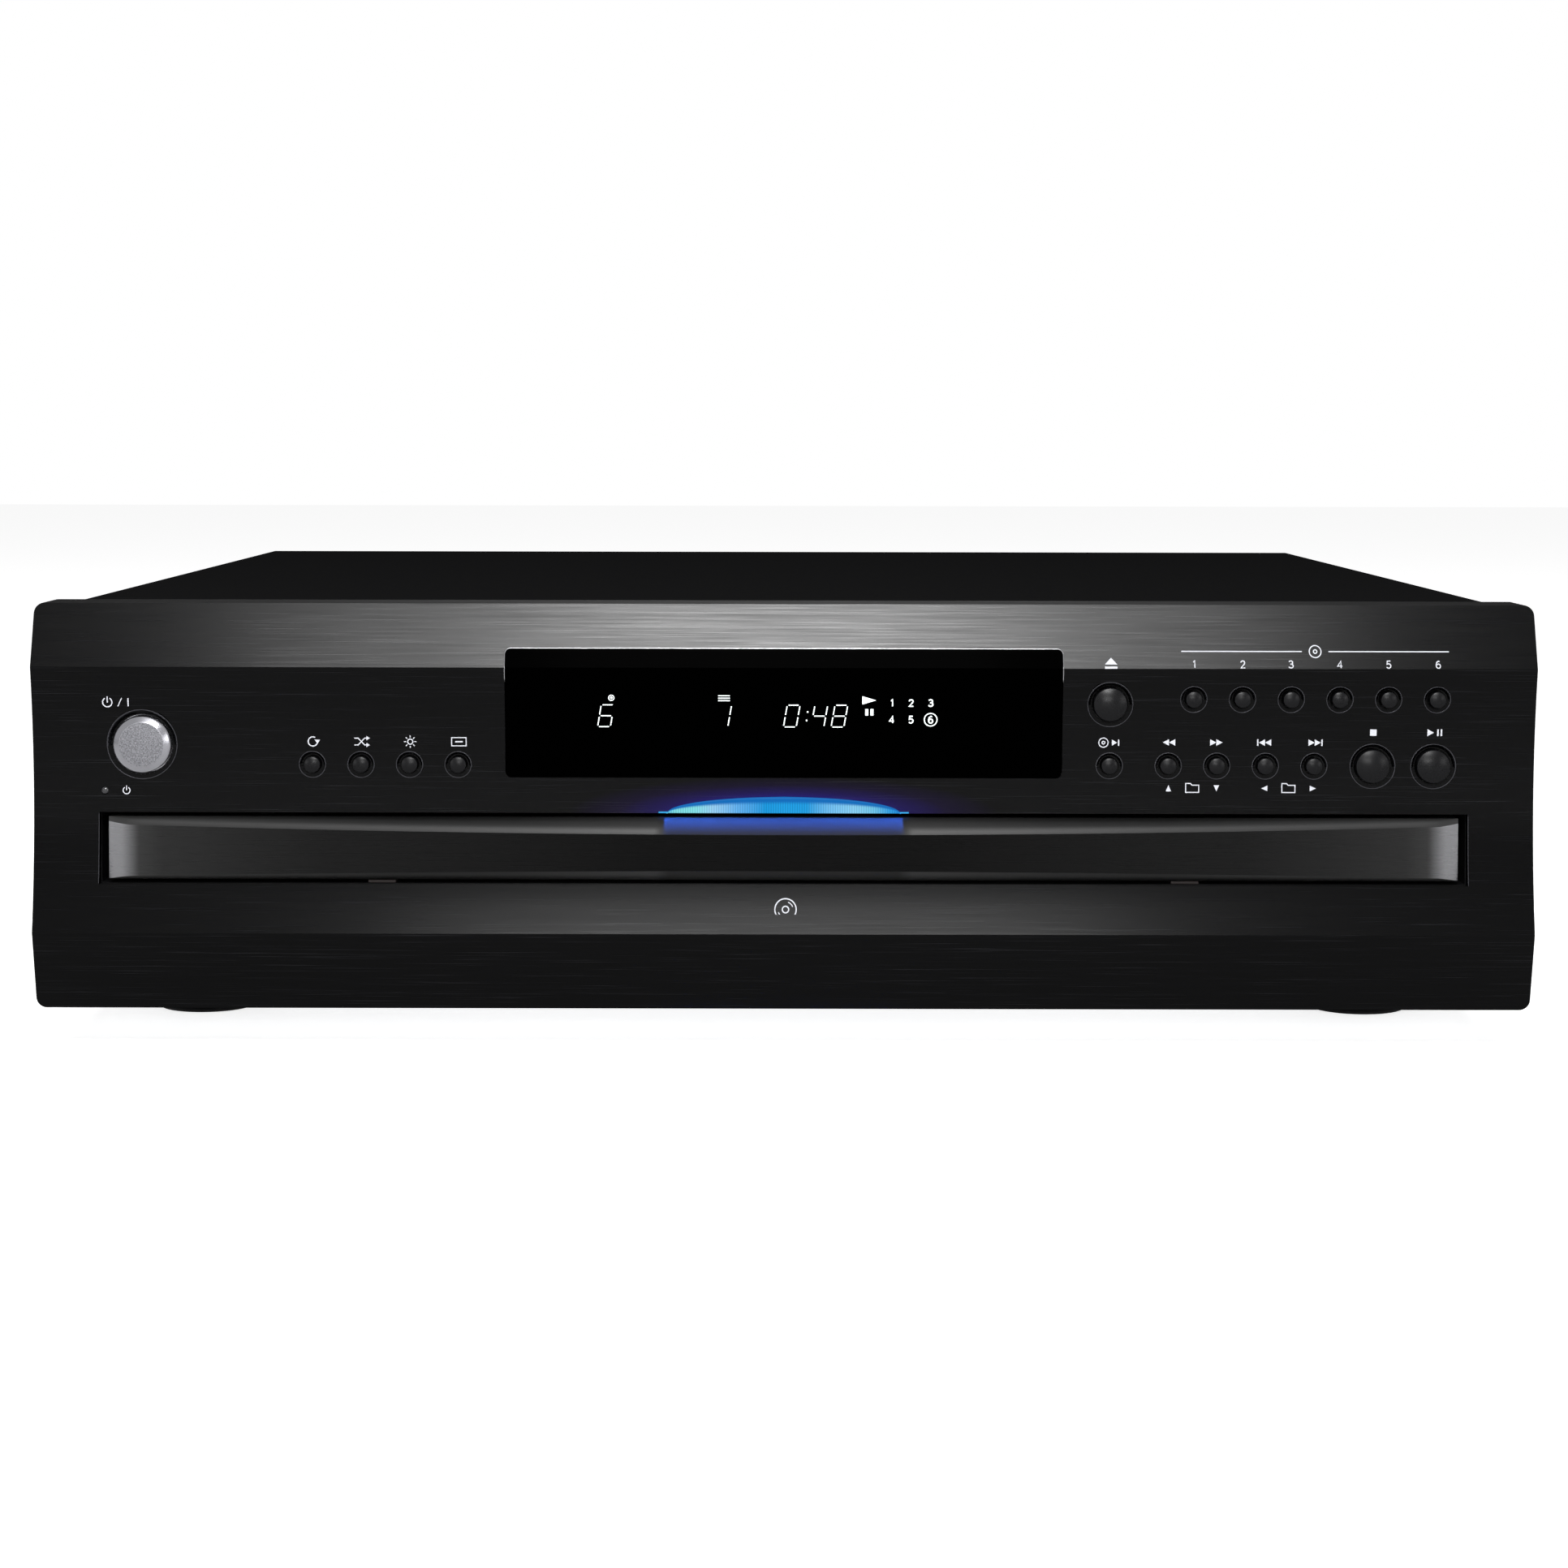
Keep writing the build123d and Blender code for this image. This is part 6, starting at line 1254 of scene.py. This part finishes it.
def floor_material():
    """Pale floor that shows white to the camera, keeps the object's shadow, and is clear from below."""
    material, wire, shader = start_material("pale floor", specular=0.0, base_color=(0.82, 0.82, 0.82, 1),
                                            roughness=0.9)
    light = wire.node("LightPath")
    direct = wire.math("MAXIMUM", light.outputs["Is Camera Ray"], light.outputs["Is Transmission Ray"])
    seen = wire.math("MAXIMUM", wire.math("MULTIPLY", direct, 0.8),
                     wire.math("MULTIPLY", light.outputs["Is Glossy Ray"], 0.3))
    glow = wire.node("Emission")
    glow.inputs["Color"].default_value = (1, 1, 1, 1)
    wire.join(seen, glow.inputs["Strength"])
    both = wire.node("AddShader")
    wire.join(shader.outputs[0], both.inputs[0])
    wire.join(glow.outputs[0], both.inputs[1])
    behind = wire.node("NewGeometry").outputs["Backfacing"]
    below = wire.math("MULTIPLY", behind, light.outputs["Is Camera Ray"])
    sight = wire.node("MixShader")
    wire.join(below, sight.inputs[0])
    wire.join(both.outputs[0], sight.inputs[1])
    wire.join(wire.node("BsdfTransparent").outputs[0], sight.inputs[2])
    wire.join(sight.outputs[0], material.node_tree.nodes["Material Output"].inputs["Surface"])
    return material


def make_world():
    """Even surround: white where it is seen or mirrored, softer as a light."""
    world = bpy.data.worlds.new("soft surround")
    bpy.context.scene.world = world
    world.use_nodes = True
    wire = Wiring(world.node_tree)
    background = world.node_tree.nodes["Background"]
    background.inputs["Color"].default_value = (1, 1, 1, 1)
    light = wire.node("LightPath")
    through = wire.math("MAXIMUM", light.outputs["Is Glossy Ray"], light.outputs["Is Transmission Ray"])
    seen = wire.math("MAXIMUM", light.outputs["Is Camera Ray"], through)
    wire.join(wire.remap(seen, 0, 1, 0.16, 1.0), background.inputs["Strength"])


def area_light(name, place, target, size, power):
    """A softbox at a place, turned to its target."""
    data = bpy.data.lights.new(name, "AREA")
    data.shape = "RECTANGLE"
    data.size, data.size_y = size
    data.energy = power
    obj = placed(name, data)
    direction = np.array(target) - np.array(place)
    obj.location = place
    obj.rotation_euler = Vector(direction).to_track_quat("-Z", "Y").to_euler()
    return obj


def make_camera():
    """The photograph's camera, with its small shift, pitch and roll."""
    data = bpy.data.cameras.new("camera")
    data.lens = 72.6035
    data.sensor_width = 36.0
    data.shift_x = 0.0079
    data.shift_y = -0.15
    data.clip_start = 0.05
    data.clip_end = 50
    camera = placed("camera", data)
    pitch = Matrix.Rotation(radians(90 - 2.2491), 4, "X")
    roll = Matrix.Rotation(radians(0.1106), 4, "Z")
    camera.matrix_world = Matrix.Translation((-3.6237 * MM, -1126.4930 * MM, 182.9680 * MM)) @ pitch @ roll
    bpy.context.scene.camera = camera


stage_plane("floor", 12.0, 0.0, floor_material())
make_world()
TARGET = (0, FRONT, 70 * MM)
area_light("front softbox", (0, -1.56, 1.02), TARGET, (0.36, 0.14), 14.5)
area_light("wide front softbox", (0, -1.57, 1.03), TARGET, (0.82, 0.14), 13.8)
area_light("low front softbox", (0, -1.75, 0.4), (0, FRONT, 45 * MM), (0.5, 0.12), 6.5)
area_light("left softbox", (-1.3, -1.7, 0.35), TARGET, (0.3, 0.5), 4)
area_light("right softbox", (1.3, -1.7, 0.35), TARGET, (0.3, 0.5), 4)
area_light("overhead softbox", (0, 0.3, 2.2), (0, 0, 0), (1.6, 1.6), 16)
glow_y = -213.7 * MM
guide_glow = area_light("light guide glow", (0, glow_y, 70.15 * MM), (0, glow_y, 0), (69 * MM, 4.2 * MM),
                        0.05)
guide_glow.data.color = (0.04, 0.16, 1.0)
guide_glow.data.spread = radians(24)
guide_glow.visible_glossy = False
make_camera()
bpy.context.scene.view_settings.view_transform = "Standard"
